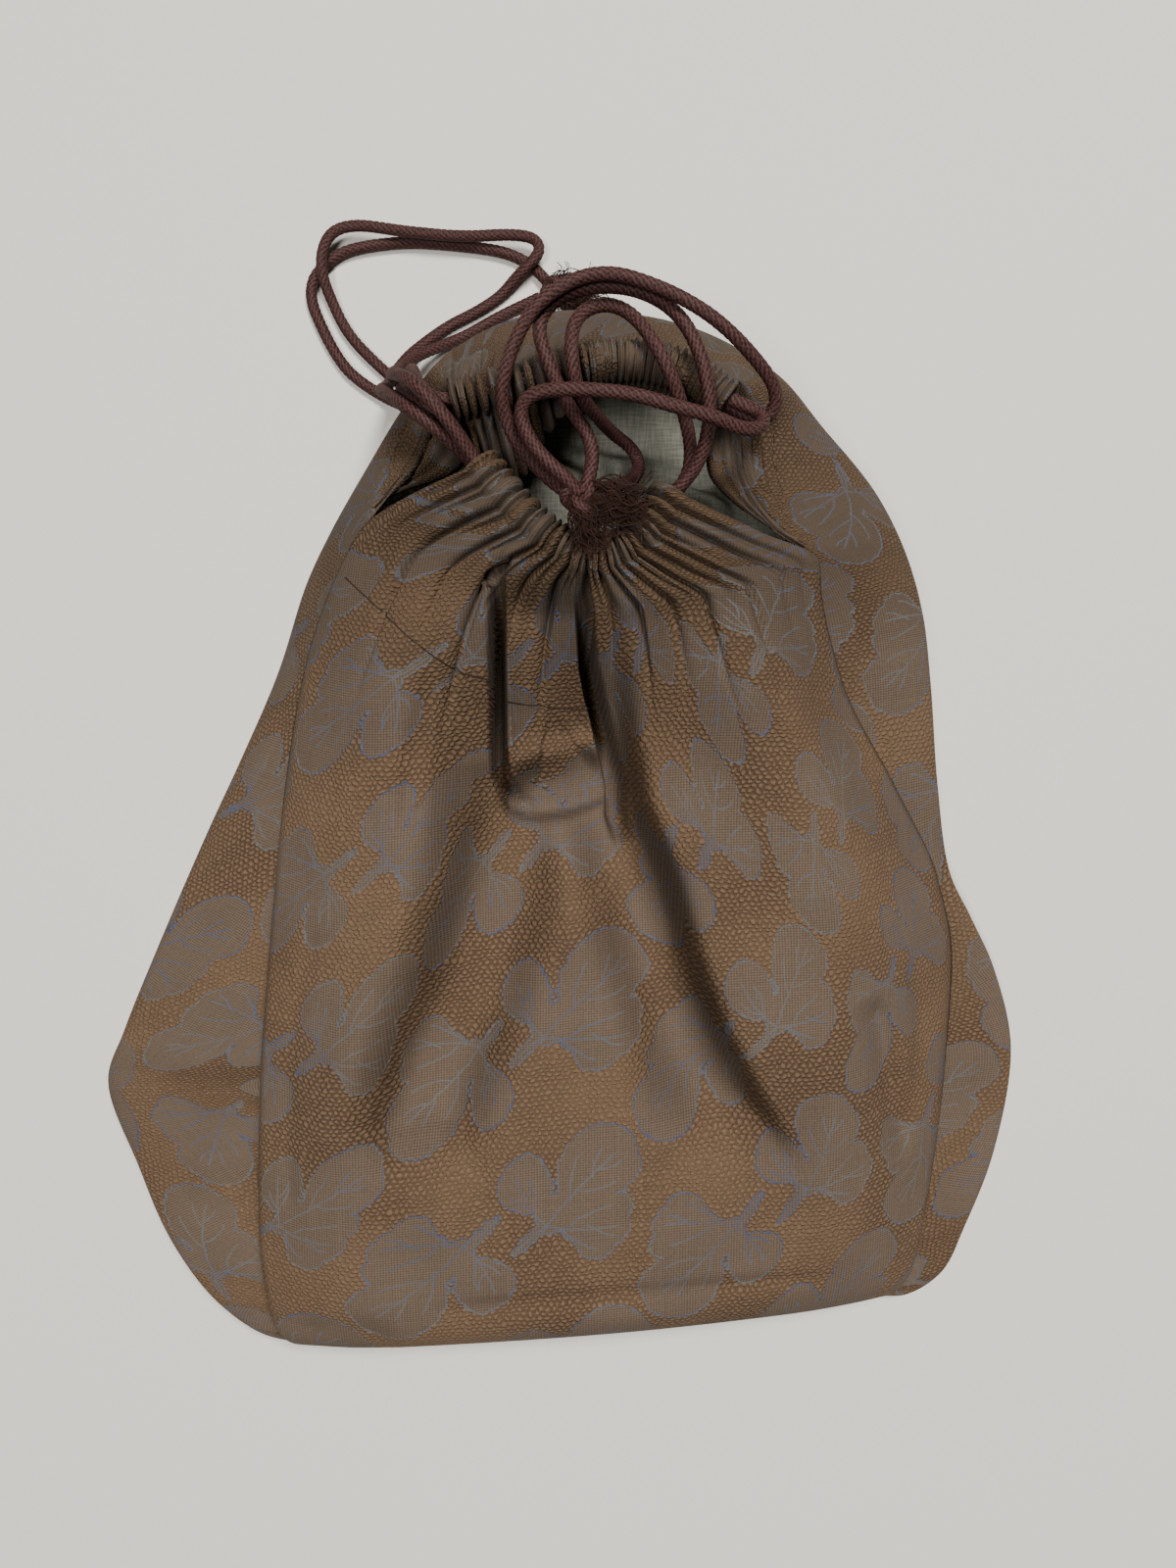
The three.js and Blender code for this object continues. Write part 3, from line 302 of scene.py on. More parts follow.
plain_base = front_surface(front_us, front_vs, (), ())
flat_across = grain_across(front_us, front_vs, running_length(pressed, 1))
weave_up = running_length(plain_base, 0)
flat_up = weave_up - UPPER_SLACK * front_vs[:, None] ** 2 * ease((RIDGE_AT - front_us) / RIDGE_AT)
aside = np.maximum(0, front_us - LEAN_FROM)
flat_up = flat_up - RIGHT_LEAN * aside * np.minimum(1 - front_vs[:, None], LEAN_MOST)
hem_run = np.arange(1, CHANNEL_ROWS + 1)[:, None] * HEM_STEP
front_flat = np.dstack([
    np.concatenate([flat_across, np.repeat(flat_across[-1:], CHANNEL_ROWS, axis=0)]),
    np.concatenate([flat_up, flat_up[-1] + hem_run]),
])
weave_across = running_length(plain_base, 1)
weave_across = weave_across - weave_across[:, np.abs(front_us).argmin()][:, None]
front_weave = np.dstack([
    np.concatenate([weave_across, np.repeat(weave_across[-1:], CHANNEL_ROWS, axis=0)]),
    np.concatenate([weave_up, weave_up[-1] + hem_run]),
])
from_rim = np.concatenate([(1 - front_vs) * flat_up[-1].mean(), np.zeros(CHANNEL_ROWS)])
front_from_rim = np.repeat(from_rim[:, None], len(front_us), axis=1)

# Leaf of the jacquard, on the flat cloth in mm from the end of its stem: three broad lobes, with narrow
# notches between them, and their veins. Leaves lie in pairs, stem beside stem, the second turned round.
LOBE_COLUMNS = ("x", "y", "turn", "half_length", "half_width")
LEAF_LOBES = [dict(zip(LOBE_COLUMNS, row)) for row in (
    (46, 1.5, 0, 15.5, 14), (37, 5, 35, 12, 7.5), (38, -3, -25, 12, 7.5), (51, -4, -50, 9, 8),
    (20, 15.5, 76, 11.5, 9.5), (16, 17, 100, 8, 7), (24, 18, 60, 8, 6.5),
    (28, -13.5, -46, 13.5, 10), (36, -13.5, -28, 9, 5.5), (23, -18, -70, 8, 7.5),
    (20, 0, 0, 9, 6.5), (7, 0, 0, 9, 1.9),
)]
LOBE_SOFTNESS = 0.8
MARGIN_WAVE = 0.7
MARGIN_WAVES = ((0.85, 0.3, 0), (-0.35, 0.8, 1))
LEAF_REACH = 9
FAR_OUTSIDE = 99.0
VEIN_COLUMNS = ("x", "y", "turn", "length", "bow")
LEAF_VEINS = [dict(zip(VEIN_COLUMNS, row)) for row in (
    (0, 0.9, -2, 15, 0.3), (0, -0.9, 2, 15, -0.3), (14, 0, 0, 40, 1.0),
    (15, 0, 76, 22, 1.5), (16.5, 8, 52, 11, -1.0), (16.5, 7, 106, 11, 1.0), (18, 13, 38, 7, -0.6),
    (15, 0, -46, 27, -1.5), (21, -6.5, -20, 18, 1.2), (18, -4, -78, 16, -1.0), (26, -11, -66, 11, -0.8),
    (29, 0.3, 34, 17, 1.5), (33, 0.3, -30, 15, -1.2), (41, 0.3, 26, 11, 0.8), (45, 0.2, -24, 9, -0.6),
)]
LEAF_TURN = math.radians(222)
LEAF_MIDDLE = 34.0
SECOND_STEM = FIRST_STEM + np.array([7.6, -12.5])


def turned(x, y, angle):
    return x * math.cos(angle) + y * math.sin(angle), y * math.cos(angle) - x * math.sin(angle)


def one_leaf(flat, stem, angle):
    """For places on the flat cloth: way to a leaf's edge, and the place in the leaf from its stem."""
    middle = stem + LEAF_MIDDLE * np.array([math.cos(angle), math.sin(angle)])
    place = flat - middle
    place = place - LEAF_REPEAT * np.round(place / LEAF_REPEAT)
    x, y = turned(place[..., 0], place[..., 1], angle)
    x = x + LEAF_MIDDLE
    wave = np.prod([np.sin(across * x + up * y + start) for across, up, start in MARGIN_WAVES], axis=0)
    edge = np.full_like(x, FAR_OUTSIDE)
    for lobe in LEAF_LOBES:
        px, py = turned(x - lobe["x"], y - lobe["y"], math.radians(lobe["turn"]))
        out = np.hypot(px / lobe["half_length"], py / lobe["half_width"])
        steep = np.maximum(np.hypot(px / lobe["half_length"] ** 2, py / lobe["half_width"] ** 2), 1e-6)
        way = out * (out - 1) / steep
        mix = np.clip(0.5 + 0.5 * (edge - way) / LOBE_SOFTNESS, 0, 1)
        edge = edge * (1 - mix) + way * mix - LOBE_SOFTNESS * mix * (1 - mix)
    return np.stack([np.clip(edge + MARGIN_WAVE * wave, -LEAF_REACH, LEAF_REACH), x, y], axis=-1)


def leaf_fields(flat):
    first = one_leaf(flat, FIRST_STEM, LEAF_TURN)
    second = one_leaf(flat, SECOND_STEM, LEAF_TURN - math.pi)
    return np.where(second[..., :1] < first[..., :1], second, first)


def new_piece(name, points, faces, edges=()):
    """A piece with its mesh through points in mm."""
    mesh = bpy.data.meshes.new(name)
    mesh.from_pydata((np.asarray(points) * MM).tolist(), list(edges), faces)
    piece = bpy.data.objects.new(name, mesh)
    bpy.context.collection.objects.link(piece)
    return piece


def thick_cloth(name, points, quads, thickness, flat, weave, from_rim, patches=()):
    """A closed sheet: the outer face through points, the inner one a thickness below it, and its edges."""
    count = len(points)
    corners = points[quads]
    faces = np.cross(corners[:, 2] - corners[:, 0], corners[:, 3] - corners[:, 1])
    normals = np.zeros_like(points)
    for i in range(4):
        np.add.at(normals, quads[:, i], faces)
    inner = points - unit(normals) * thickness
    edges = np.concatenate([quads[:, [i, (i + 1) % 4]] for i in range(4)])
    rings = [np.stack([patch, np.roll(patch, -1)], axis=-1) for patch in patches]
    edges = np.concatenate([edges] + rings)
    there, back = edges[:, 0] * count + edges[:, 1], edges[:, 1] * count + edges[:, 0]
    free = edges[~np.isin(there, back)]
    rims = np.stack([free[:, 1], free[:, 0], free[:, 0] + count, free[:, 1] + count], axis=-1)
    polygons = np.concatenate([quads, quads[:, ::-1] + count, rims]).tolist()
    for patch in patches:
        polygons += [patch.tolist(), (patch[::-1] + count).tolist()]
    piece = new_piece(name, np.concatenate([points, inner]), polygons)
    mesh = piece.data
    sides = np.repeat([0.0, 1.0], count)
    on_cloth = np.column_stack([np.tile(weave, (2, 1)), sides])
    for label, values in (("weave", on_cloth), ("leaf", np.tile(leaf_fields(flat), (2, 1)))):
        mesh.attributes.new(label, "FLOAT_VECTOR", "POINT").data.foreach_set("vector", values.ravel())
    mesh.attributes.new("from_rim", "FLOAT", "POINT").data.foreach_set("value", np.tile(from_rim, 2))
    mesh.polygons.foreach_set("use_smooth", np.ones(len(mesh.polygons), bool))
    return piece


def add_node(tree, kind, values=(), **settings):
    made = tree.nodes.new(kind)
    for name, value in settings.items():
        setattr(made, name, value)
    for key, value in dict(values).items():
        if isinstance(value, bpy.types.NodeSocket):
            tree.links.new(value, made.inputs[key])
        else:
            made.inputs[key].default_value = value
    return made


def calc(tree, operation, *terms):
    return add_node(tree, "ShaderNodeMath", enumerate(terms), operation=operation).outputs[0]


def between(tree, value, low, high):
    """0 below low, 1 above high, eased between them; the other way round where low is above high."""
    values = {"Value": value, "From Min": low, "From Max": high}
    return add_node(tree, "ShaderNodeMapRange", values, interpolation_type="SMOOTHSTEP").outputs[0]


def tint(tree, share, low, high):
    values = {0: share, 6: low, 7: high}
    return add_node(tree, "ShaderNodeMix", values, data_type="RGBA").outputs[2]


def noise(tree, place, scale, detail=2.0):
    values = {"Vector": place, "Scale": scale, "Detail": detail}
    return add_node(tree, "ShaderNodeTexNoise", values).outputs["Fac"]


def waves_along(tree, place, steps):
    """Waves over the flat cloth added up, each repeating at its two steps in mm, 0 for none."""
    total = None
    for pair in steps:
        way = [2 * math.pi / step if step else 0 for step in pair] + [0]
        turns = add_node(tree, "ShaderNodeVectorMath", {0: place, 1: way}, operation="DOT_PRODUCT")
        wave = calc(tree, "COSINE", turns.outputs["Value"])
        total = wave if total is None else calc(tree, "ADD", total, wave)
    return total


def new_material(name, roughness):
    material = bpy.data.materials.new(name)
    material.use_nodes = True
    shader = material.node_tree.nodes["Principled BSDF"]
    shader.inputs["Roughness"].default_value = roughness
    shader.inputs["Specular IOR Level"].default_value = 0.2
    return material, material.node_tree, shader


def point_value(tree, name, output):
    return add_node(tree, "ShaderNodeAttribute", attribute_name=name).outputs[output]


def link_bump(tree, shader, height, depth):
    values = {"Height": height, "Distance": depth, "Strength": 1.0}
    bump = add_node(tree, "ShaderNodeBump", values)
    tree.links.new(bump.outputs["Normal"], shader.inputs["Normal"])


GROUND_TOP = (0.142, 0.090, 0.053, 1)
# The pit colour is painted shade, darkening the hollows between the blisters
GROUND_PIT_SHADE = (0.062, 0.038, 0.023, 1)
LEAF_WEAVE = (0.122, 0.088, 0.062, 1)
LEAF_RIB = (0.064, 0.046, 0.034, 1)
BLUE_DEEP = (0.046, 0.070, 0.132, 1)
BLUE_PALE = (0.100, 0.118, 0.132, 1)
FACING = (0.085, 0.058, 0.040, 1)
LINING_INSIDE = (0.20, 0.20, 0.16, 1)
# Steps of the blistered ground, the leaves' ribs and the dots of blue thread, in mm across and up
BLISTER_ACROSS = 2.6
BLISTER_ALONG = 3.5
BLISTER_WAVES = ((0, BLISTER_ALONG / 2), (BLISTER_ACROSS, BLISTER_ALONG), (-BLISTER_ACROSS, BLISTER_ALONG))
BLISTER_RANGE = (-1.9, 1.6)
BLISTER_UNEVEN = 3.6
RIB_WAVES = ((0, 0.95), (1.1, 0))
RIB_RANGE = (-1.8, 1.4)
RIB_UNEVEN = 1.6
DOT_WAVES = ((1.5, 1.2), (-1.5, 1.2))
DOT_RANGE = (-1.2, 1.0)
DOT_UNEVEN = 3.0
# Noise over the flat cloth: its scale a mm, or its two scales and its detail where it is drawn out
WANDERS = ((0.12, 4.0), (0.45, 1.6))
VEIN_WANDER = (0.2, 1.6)
UNEVEN_SCALE = 0.8
SLACK_SCALE, SLACK_RANGE = 0.012, (0.35, 0.65)
MOTTLE_SCALE = 0.03
FADE_SCALE, FADE_RANGE = 0.05, (0.3, 0.6)
BLUE_SCALE, BLUE_RANGE = 0.018, (0.38, 0.62)
YARN_GRAIN = ((2.4, 0.9, 2.0), (0.7, 2.2, 2.0))
STREAK_GRAIN = ((0.02, 0.9, 3.0), (0.7, 0.03, 2.0))
# Shares that each of these has in the cloth's brightness and in the blue thread's cover
SLACK_FLATTENS = 0.65
DARKEST, MOTTLE_TONE, STREAK_TONE, YARN_TONE = 0.08, 0.4, 0.22, 0.52
VEIN_COVER = 0.8
DOT_COVER = (0.35, 0.55)
FADE_COVER = (0.6, 0.4)
LEAF_EDGE = 0.4
LINE_HALF = 0.38
LINE_SOFT = 0.2
OUTLINE_SOFT = 0.25
FACING_DEPTH = 60.0
INSIDE_RANGE = (0.4, 0.6)
# The cloth is darker towards the rim, by the share below: fully so within 20 mm of the rim, not at all from
# 140 mm on
RIM_DARK_FROM, RIM_DARK_TO = 20.0, 140.0
RIM_DARKEST = 0.68
LEAF_RAISED, RIB_RAISED, YARN_RAISED = 0.45, 0.12, 0.3
WEAVE_HEIGHT = 0.5


def centred(tree, value, by):
    """A value from 0 to 1 as one from minus half of this to plus half."""
    return calc(tree, "MULTIPLY_ADD", value, by, -by / 2)


def grained(tree, flat, grains):
    """Noises drawn out over the flat cloth, added up."""
    parts = []
    for x, y, detail in grains:
        drawn_out = add_node(tree, "ShaderNodeVectorMath", {0: flat, 1: (x, y, 1)}, operation="MULTIPLY")
        parts.append(noise(tree, drawn_out.outputs["Vector"], 1.0, detail))
    return calc(tree, "ADD", *parts)


def shifted(tree, place, scale, amount):
    """Places moved about a little, so that nothing woven is quite straight."""
    shift = add_node(tree, "ShaderNodeTexNoise", {"Vector": place, "Scale": scale, "Detail": 2.0})
    by = {0: shift.outputs["Color"], 1: (amount, amount, 0), 2: place}
    return add_node(tree, "ShaderNodeVectorMath", by, operation="MULTIPLY_ADD").outputs["Vector"]


def vein_way(tree, place):
    """Way to the nearest vein from a place in the leaf, in mm."""
    nearest = None
    for vein in LEAF_VEINS:
        turn = (0, 0, math.radians(vein["turn"]))
        values = {"Vector": place, "Location": (vein["x"], vein["y"], 0), "Rotation": turn}
        along = add_node(tree, "ShaderNodeMapping", values, vector_type="TEXTURE").outputs["Vector"]
        x, y, _ = add_node(tree, "ShaderNodeSeparateXYZ", {0: along}).outputs
        values = {0: x, 1: 1 / vein["length"]}
        share = add_node(tree, "ShaderNodeMath", values, operation="MULTIPLY", use_clamp=True).outputs[0]
        bow = calc(tree, "MULTIPLY", share, calc(tree, "SUBTRACT", 1.0, share))
        aside = calc(tree, "MULTIPLY_ADD", bow, -4 * vein["bow"], y)
        beyond = calc(tree, "MULTIPLY_ADD", share, -vein["length"], x)
        both = add_node(tree, "ShaderNodeCombineXYZ", {0: aside, 1: beyond}).outputs[0]
        way = add_node(tree, "ShaderNodeVectorMath", {0: both}, operation="LENGTH").outputs["Value"]
        nearest = way if nearest is None else calc(tree, "MINIMUM", nearest, way)
    return nearest


def make_jacquard():
    material, tree, shader = new_material("leaf_jacquard", 0.92)
    flat = point_value(tree, "weave", "Vector")
    leaf = point_value(tree, "leaf", "Vector")
    rim = point_value(tree, "from_rim", "Fac")
    edge, leaf_x, leaf_y = add_node(tree, "ShaderNodeSeparateXYZ", {0: leaf}).outputs
    side = add_node(tree, "ShaderNodeSeparateXYZ", {0: flat}).outputs["Z"]
    loose = flat
    for scale, amount in WANDERS:
        loose = shifted(tree, loose, scale, amount)
    uneven = noise(tree, flat, UNEVEN_SCALE, 3.0)
    yarns = grained(tree, flat, YARN_GRAIN)
    waves = waves_along(tree, loose, BLISTER_WAVES)
    blister = between(tree, calc(tree, "ADD", waves, centred(tree, uneven, BLISTER_UNEVEN)), *BLISTER_RANGE)
    ribs = waves_along(tree, flat, RIB_WAVES)
    rib = between(tree, calc(tree, "ADD", ribs, centred(tree, uneven, RIB_UNEVEN)), *RIB_RANGE)
    in_leaf = between(tree, edge, LEAF_EDGE, -LEAF_EDGE)
    slack = between(tree, noise(tree, flat, SLACK_SCALE, 2.0), *SLACK_RANGE)
    # Painted shade in the blister pits, lighter where the broad slack noise is high
    pit_shade = tint(tree, calc(tree, "MULTIPLY", slack, SLACK_FLATTENS), GROUND_PIT_SHADE, GROUND_TOP)
    cloth = tint(tree, in_leaf, tint(tree, blister, pit_shade, GROUND_TOP), tint(tree, rib, LEAF_RIB, LEAF_WEAVE))
    value = calc(tree, "MULTIPLY_ADD", grained(tree, flat, STREAK_GRAIN), STREAK_TONE, DARKEST)
    value = calc(tree, "MULTIPLY_ADD", noise(tree, flat, MOTTLE_SCALE, 4.0), MOTTLE_TONE, value)
    value = calc(tree, "MULTIPLY_ADD", yarns, YARN_TONE, value)
    # Darker towards the rim
    rim_tone = calc(tree, "MULTIPLY_ADD", between(tree, rim, RIM_DARK_FROM, RIM_DARK_TO), 1 - RIM_DARKEST, RIM_DARKEST)
    values = {"Color": cloth, "Value": calc(tree, "MULTIPLY", value, rim_tone)}
    # The cloth's colour with its painted pit shade, random tone and the darkening towards the rim
    toned_and_shaded = add_node(tree, "ShaderNodeHueSaturation", values).outputs["Color"]
    outline = between(tree, calc(tree, "ABSOLUTE", edge), LINE_HALF + OUTLINE_SOFT, LINE_HALF - LINE_SOFT)
    in_place = add_node(tree, "ShaderNodeCombineXYZ", {0: leaf_x, 1: leaf_y}).outputs[0]
    way = vein_way(tree, shifted(tree, in_place, *VEIN_WANDER))
    vein = calc(tree, "MULTIPLY", between(tree, way, LINE_HALF + LINE_SOFT, LINE_HALF - LINE_SOFT), in_leaf)
    thread = calc(tree, "MAXIMUM", outline, calc(tree, "MULTIPLY", vein, VEIN_COVER))
    dots = calc(tree, "ADD", waves_along(tree, flat, DOT_WAVES), centred(tree, uneven, DOT_UNEVEN))
    cover = calc(tree, "MULTIPLY_ADD", between(tree, dots, *DOT_RANGE), DOT_COVER[1], DOT_COVER[0])
    faded = between(tree, noise(tree, flat, FADE_SCALE, 3.0), *FADE_RANGE)
    cover = calc(tree, "MULTIPLY", cover, calc(tree, "MULTIPLY_ADD", faded, FADE_COVER[1], FADE_COVER[0]))
    blue = tint(tree, between(tree, noise(tree, flat, BLUE_SCALE, 3.0), *BLUE_RANGE), BLUE_DEEP, BLUE_PALE)
    drawn = tint(tree, calc(tree, "MULTIPLY", thread, cover), toned_and_shaded, blue)
    inside = tint(tree, between(tree, rim, FACING_DEPTH - 1, FACING_DEPTH + 1), FACING, LINING_INSIDE)
    shown = tint(tree, between(tree, side, *INSIDE_RANGE), drawn, inside)
    tree.links.new(shown, shader.inputs["Base Color"])
    flat_leaf = calc(tree, "MULTIPLY_ADD", rib, RIB_RAISED, LEAF_RAISED)
    raised = calc(tree, "MULTIPLY_ADD", yarns, YARN_RAISED, blister)
    height = add_node(tree, "ShaderNodeMix", {0: in_leaf, 2: raised, 3: flat_leaf}).outputs[0]
    link_bump(tree, shader, height, WEAVE_HEIGHT * MM)
    return material


jacquard = make_jacquard()
front_panel = thick_cloth(
    "front_panel_cloth", front_points.reshape(-1, 3), quads_between(numbered(*front_points.shape[:2])),
    FRONT_CLOTH, front_flat.reshape(-1, 2), front_weave.reshape(-1, 2), front_from_rim.ravel())
front_panel.data.materials.append(jacquard)
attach(front_panel, "root")
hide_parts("front_panel")

# The facing inside the front's mouth is held by one row of machine stitches in dark thread, seen across
# the left ridge and the sunk middle of the panel.
STITCH_PITCH = 2.6
STITCH_LENGTH = 2.5
STITCH_THREAD = 0.22
STITCH_PROUD = 0.12
STITCH_WANDER = 0.05
STITCH_SEED = 11
STITCH_ROWS = [
    ((-87, 74), (-73, 61), (-58.5, 48), (-45, 40), (-36, 38)),
    ((-30, 31), (-18, 30), (-6, 29.5), (2, 29.5)),
]
STITCH_DARK = (0.016, 0.011, 0.008, 1)
STITCH_WORN = (0.032, 0.022, 0.016, 1)
STITCH_GRAIN = 700.0
STITCH_PATH_STEP = 1.0


def on_front(places):
    """Points just proud of the gathered front panel, over places in plan."""
    gaps = ((front_base[None, ..., :2] - places[:, None, None]) ** 2).sum(axis=-1)
    nearest = gaps.reshape(len(places), -1).argmin(axis=1)
    i, j = np.unravel_index(nearest, gaps.shape[1:])
    across, up = (np.gradient(front_base, axis=axis)[i, j, :2] for axis in (1, 0))
    off = places - front_base[i, j, :2]
    turn = across[:, 0] * up[:, 1] - across[:, 1] * up[:, 0]
    share_across = (off[:, 0] * up[:, 1] - off[:, 1] * up[:, 0]) / turn
    share_up = (across[:, 0] * off[:, 1] - across[:, 1] * off[:, 0]) / turn
    steps = [np.gradient(pressed, axis=axis)[i, j] for axis in (1, 0)]
    points = pressed[i, j] + share_across[:, None] * steps[0] + share_up[:, None] * steps[1]
    return points + unit(np.cross(*steps)) * STITCH_PROUD


def stitch_tree():
    """Node tree that lays stitches of thread along an edge path."""
    tree = bpy.data.node_groups.new("stitch_row", "GeometryNodeTree")
    tree.interface.new_socket("Path", in_out="INPUT", socket_type="NodeSocketGeometry")
    for name in ("Pitch", "Length", "Thread", "Wander"):
        tree.interface.new_socket(name, in_out="INPUT", socket_type="NodeSocketFloat")
    tree.interface.new_socket("Seed", in_out="INPUT", socket_type="NodeSocketInt")
    tree.interface.new_socket("Material", in_out="INPUT", socket_type="NodeSocketMaterial")
    tree.interface.new_socket("Stitches", in_out="OUTPUT", socket_type="NodeSocketGeometry")
    given = tree.nodes.new("NodeGroupInput").outputs
    line = add_node(tree, "GeometryNodeMeshToCurve", {"Mesh": given["Path"]}).outputs["Curve"]
    values = {"Curve": line, "Length": given["Pitch"]}
    spots = add_node(tree, "GeometryNodeCurveToPoints", values, mode="LENGTH")
    half = calc(tree, "MULTIPLY", given["Length"], 0.5)
    start = add_node(tree, "ShaderNodeCombineXYZ", {2: calc(tree, "MULTIPLY", half, -1.0)}).outputs[0]
    end = add_node(tree, "ShaderNodeCombineXYZ", {2: half}).outputs[0]
    rod = add_node(tree, "GeometryNodeCurvePrimitiveLine", {"Start": start, "End": end}).outputs["Curve"]
    round_values = {"Resolution": 6, "Radius": given["Thread"]}
    circle = add_node(tree, "GeometryNodeCurvePrimitiveCircle", round_values).outputs["Curve"]
    values = {"Curve": rod, "Profile Curve": circle, "Fill Caps": True}
    stitch = add_node(tree, "GeometryNodeCurveToMesh", values).outputs["Mesh"]
    wander = add_node(tree, "ShaderNodeCombineXYZ", {i: given["Wander"] for i in range(3)}).outputs[0]
    values = {0: wander, "Scale": -1.0}
    least = add_node(tree, "ShaderNodeVectorMath", values, operation="SCALE").outputs["Vector"]
    values = {0: least, 1: wander, "Seed": given["Seed"]}
    loose = add_node(tree, "FunctionNodeRandomValue", values, data_type="FLOAT_VECTOR").outputs["Value"]
    values = {"Points": spots.outputs["Points"], "Instance": stitch, "Rotation": spots.outputs["Rotation"]}
    laid = add_node(tree, "GeometryNodeInstanceOnPoints", values).outputs["Instances"]
    values = {"Instances": laid, "Rotation": loose}
    laid = add_node(tree, "GeometryNodeRotateInstances", values).outputs["Instances"]
    real = add_node(tree, "GeometryNodeRealizeInstances", {"Geometry": laid}).outputs["Geometry"]
    values = {"Geometry": real, "Material": given["Material"]}
    done = add_node(tree, "GeometryNodeSetMaterial", values).outputs["Geometry"]
    tree.links.new(done, tree.nodes.new("NodeGroupOutput").inputs["Stitches"])
    return tree


def make_thread():
    material, tree, shader = new_material("sewing_thread", 0.6)
    place = add_node(tree, "ShaderNodeTexCoord").outputs["Object"]
    tone = tint(tree, noise(tree, place, STITCH_GRAIN), STITCH_DARK, STITCH_WORN)
    tree.links.new(tone, shader.inputs["Base Color"])
    return material


stitch_points, stitch_edges = [], []
for row in STITCH_ROWS:
    line = np.array(row, float)
    run = np.concatenate([[0], np.cumsum(np.linalg.norm(np.diff(line, axis=0), axis=1))])
    places = np.arange(0, run[-1], STITCH_PATH_STEP)
    line_points = on_front(np.column_stack([smooth(run, line[:, axis], places) for axis in (0, 1)]))
    first = len(stitch_points)
    stitch_points += line_points.tolist()
    stitch_edges += [(first + i, first + i + 1) for i in range(len(line_points) - 1)]
stitches = new_piece("facing_stitches", stitch_points, [], stitch_edges)
sewing = stitches.modifiers.new("sewing", "NODES")
sewing.node_group = stitch_tree()
stitch_inputs = {"Pitch": STITCH_PITCH * MM, "Length": STITCH_LENGTH * MM, "Thread": STITCH_THREAD * MM,
                 "Wander": STITCH_WANDER, "Seed": STITCH_SEED, "Material": make_thread()}
for socket in sewing.node_group.interface.items_tree:
    if socket.in_out == "INPUT" and socket.name in stitch_inputs:
        sewing[socket.identifier] = stitch_inputs[socket.name]
sewn = bpy.data.meshes.new_from_object(stitches.evaluated_get(bpy.context.evaluated_depsgraph_get()))
stitches.modifiers.clear()
stitches.data = sewn
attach(stitches, "root")

# The back panel is the same jacquard. The bag lies on it: it turns up round the bag's outline, folds in
# over both sides to the seams, and rises behind the mouth to its own gathered channel.
OUTLINE_COLUMNS = ("x", "y", "z", "to", "at")
OUTLINE = [dict(zip(OUTLINE_COLUMNS, row)) for row in (
    (0, -220, 6, "bottom", 0), (60, -216, 6, "bottom", 0.5), (119, -214, 7, "bottom", 1),
    (133, -212.5, 9, "right", 0.025), (147, -202, 11, "right", 0.06), (156, -183, 12, "right", 0.13),
    (168, -152, 12, "right", 0.25), (175.5, -109, 11, "right", 0.37), (168, -76, 12, "right", 0.46),
    (158, -55, 14, "right", 0.53), (148, -36, 18, "right", 0.6), (140, 0, 28, "right", 0.7),
    (135, 38, 36, "right", 0.78), (130, 66, 42, "right", 0.85), (122, 90, 45, "right_slit", 0.04),
    (110, 112, 47, "right_slit", 0.35), (89, 136, 49, "right_slit", 0.75), (71, 155, 50, "rim", 0),
    (49, 168, 52, "rim", 0.2), (27, 174.5, 54, "rim", 0.4), (0, 178, 54, "rim", 0.6),
    (-26, 176, 52, "rim", 0.8), (-50, 164, 52, "rim", 1), (-70, 142, 50, "left_slit", 0.75),
    (-86, 120, 42, "left_slit", 0.35),
    (-99, 100, 36, "left_slit", 0.04), (-111, 79, 30, "left", 0.85), (-124, 45, 24, "left", 0.78),
    (-140, 12, 20, "left", 0.7), (-156, -20, 17, "left", 0.6), (-176, -64, 14, "left", 0.48),
    (-192, -102, 12, "left", 0.385), (-199, -123, 11, "left", 0.33), (-186, -158, 12, "left", 0.25),
    (-173, -187, 13, "left", 0.17), (-156, -211, 13, "left", 0.1), (-139, -226, 11, "left", 0.05),
    (-129, -231, 9, "left", 0.02), (-119, -233, 7, "bottom", -1), (-60, -227, 6, "bottom", -0.5),
)]
BACK_RIM = [(47, 131, 98), (34, 140, 98), (17, 144, 99), (0, 143, 98), (-18, 138, 98), (-33, 134, 98),
            (-46, 131, 97)]
RIGHT_SLIT = [(84.5, 83, 71), (66, 94, 76.5), (55.5, 109, 82), (53.5, 125, 86)]
LEFT_SLIT = [(-79.5, 96, 76.5), (-70, 107, 79), (-61.5, 117, 82), (-56, 130.5, 84)]
GATHER_COLUMNS = ("first", "last", "count", "depth", "reach", "below")
BACK_GATHERS = [dict(zip(GATHER_COLUMNS, row)) for row in (
    (0.0, 0.1, 4, 2.6, 0.15, 2.0), (0.1, 0.56, 19, 5.4, 0.3, 2.5), (0.56, 1.0, 10, 6.4, 0.5, 7.0),
)]
GATHER_SEED = 3
PLACE_UNEVEN = (-0.2, 0.2)
DEPTH_UNEVEN = (0.6, 1.1)
REACH_UNEVEN = (0.3, 1.6)
SKIRT_UNEVEN = (0.8, 1.1)
draw = np.random.default_rng(GATHER_SEED)
BACK_PLEATS, SKIRT_PLEATS = [], []
for row in BACK_GATHERS:
    for i in range(row["count"]):
        share = (i + 0.5 + draw.uniform(*PLACE_UNEVEN)) / row["count"]
        at = row["first"] + (row["last"] - row["first"]) * share
        depth, reach = row["depth"] * draw.uniform(*DEPTH_UNEVEN), row["reach"] * draw.uniform(*REACH_UNEVEN)
        BACK_PLEATS.append({"at": at, "depth": depth, "reach": reach})
        SKIRT_PLEATS.append({"at": at, "depth": row["below"] * draw.uniform(*SKIRT_UNEVEN), "reach": 1})
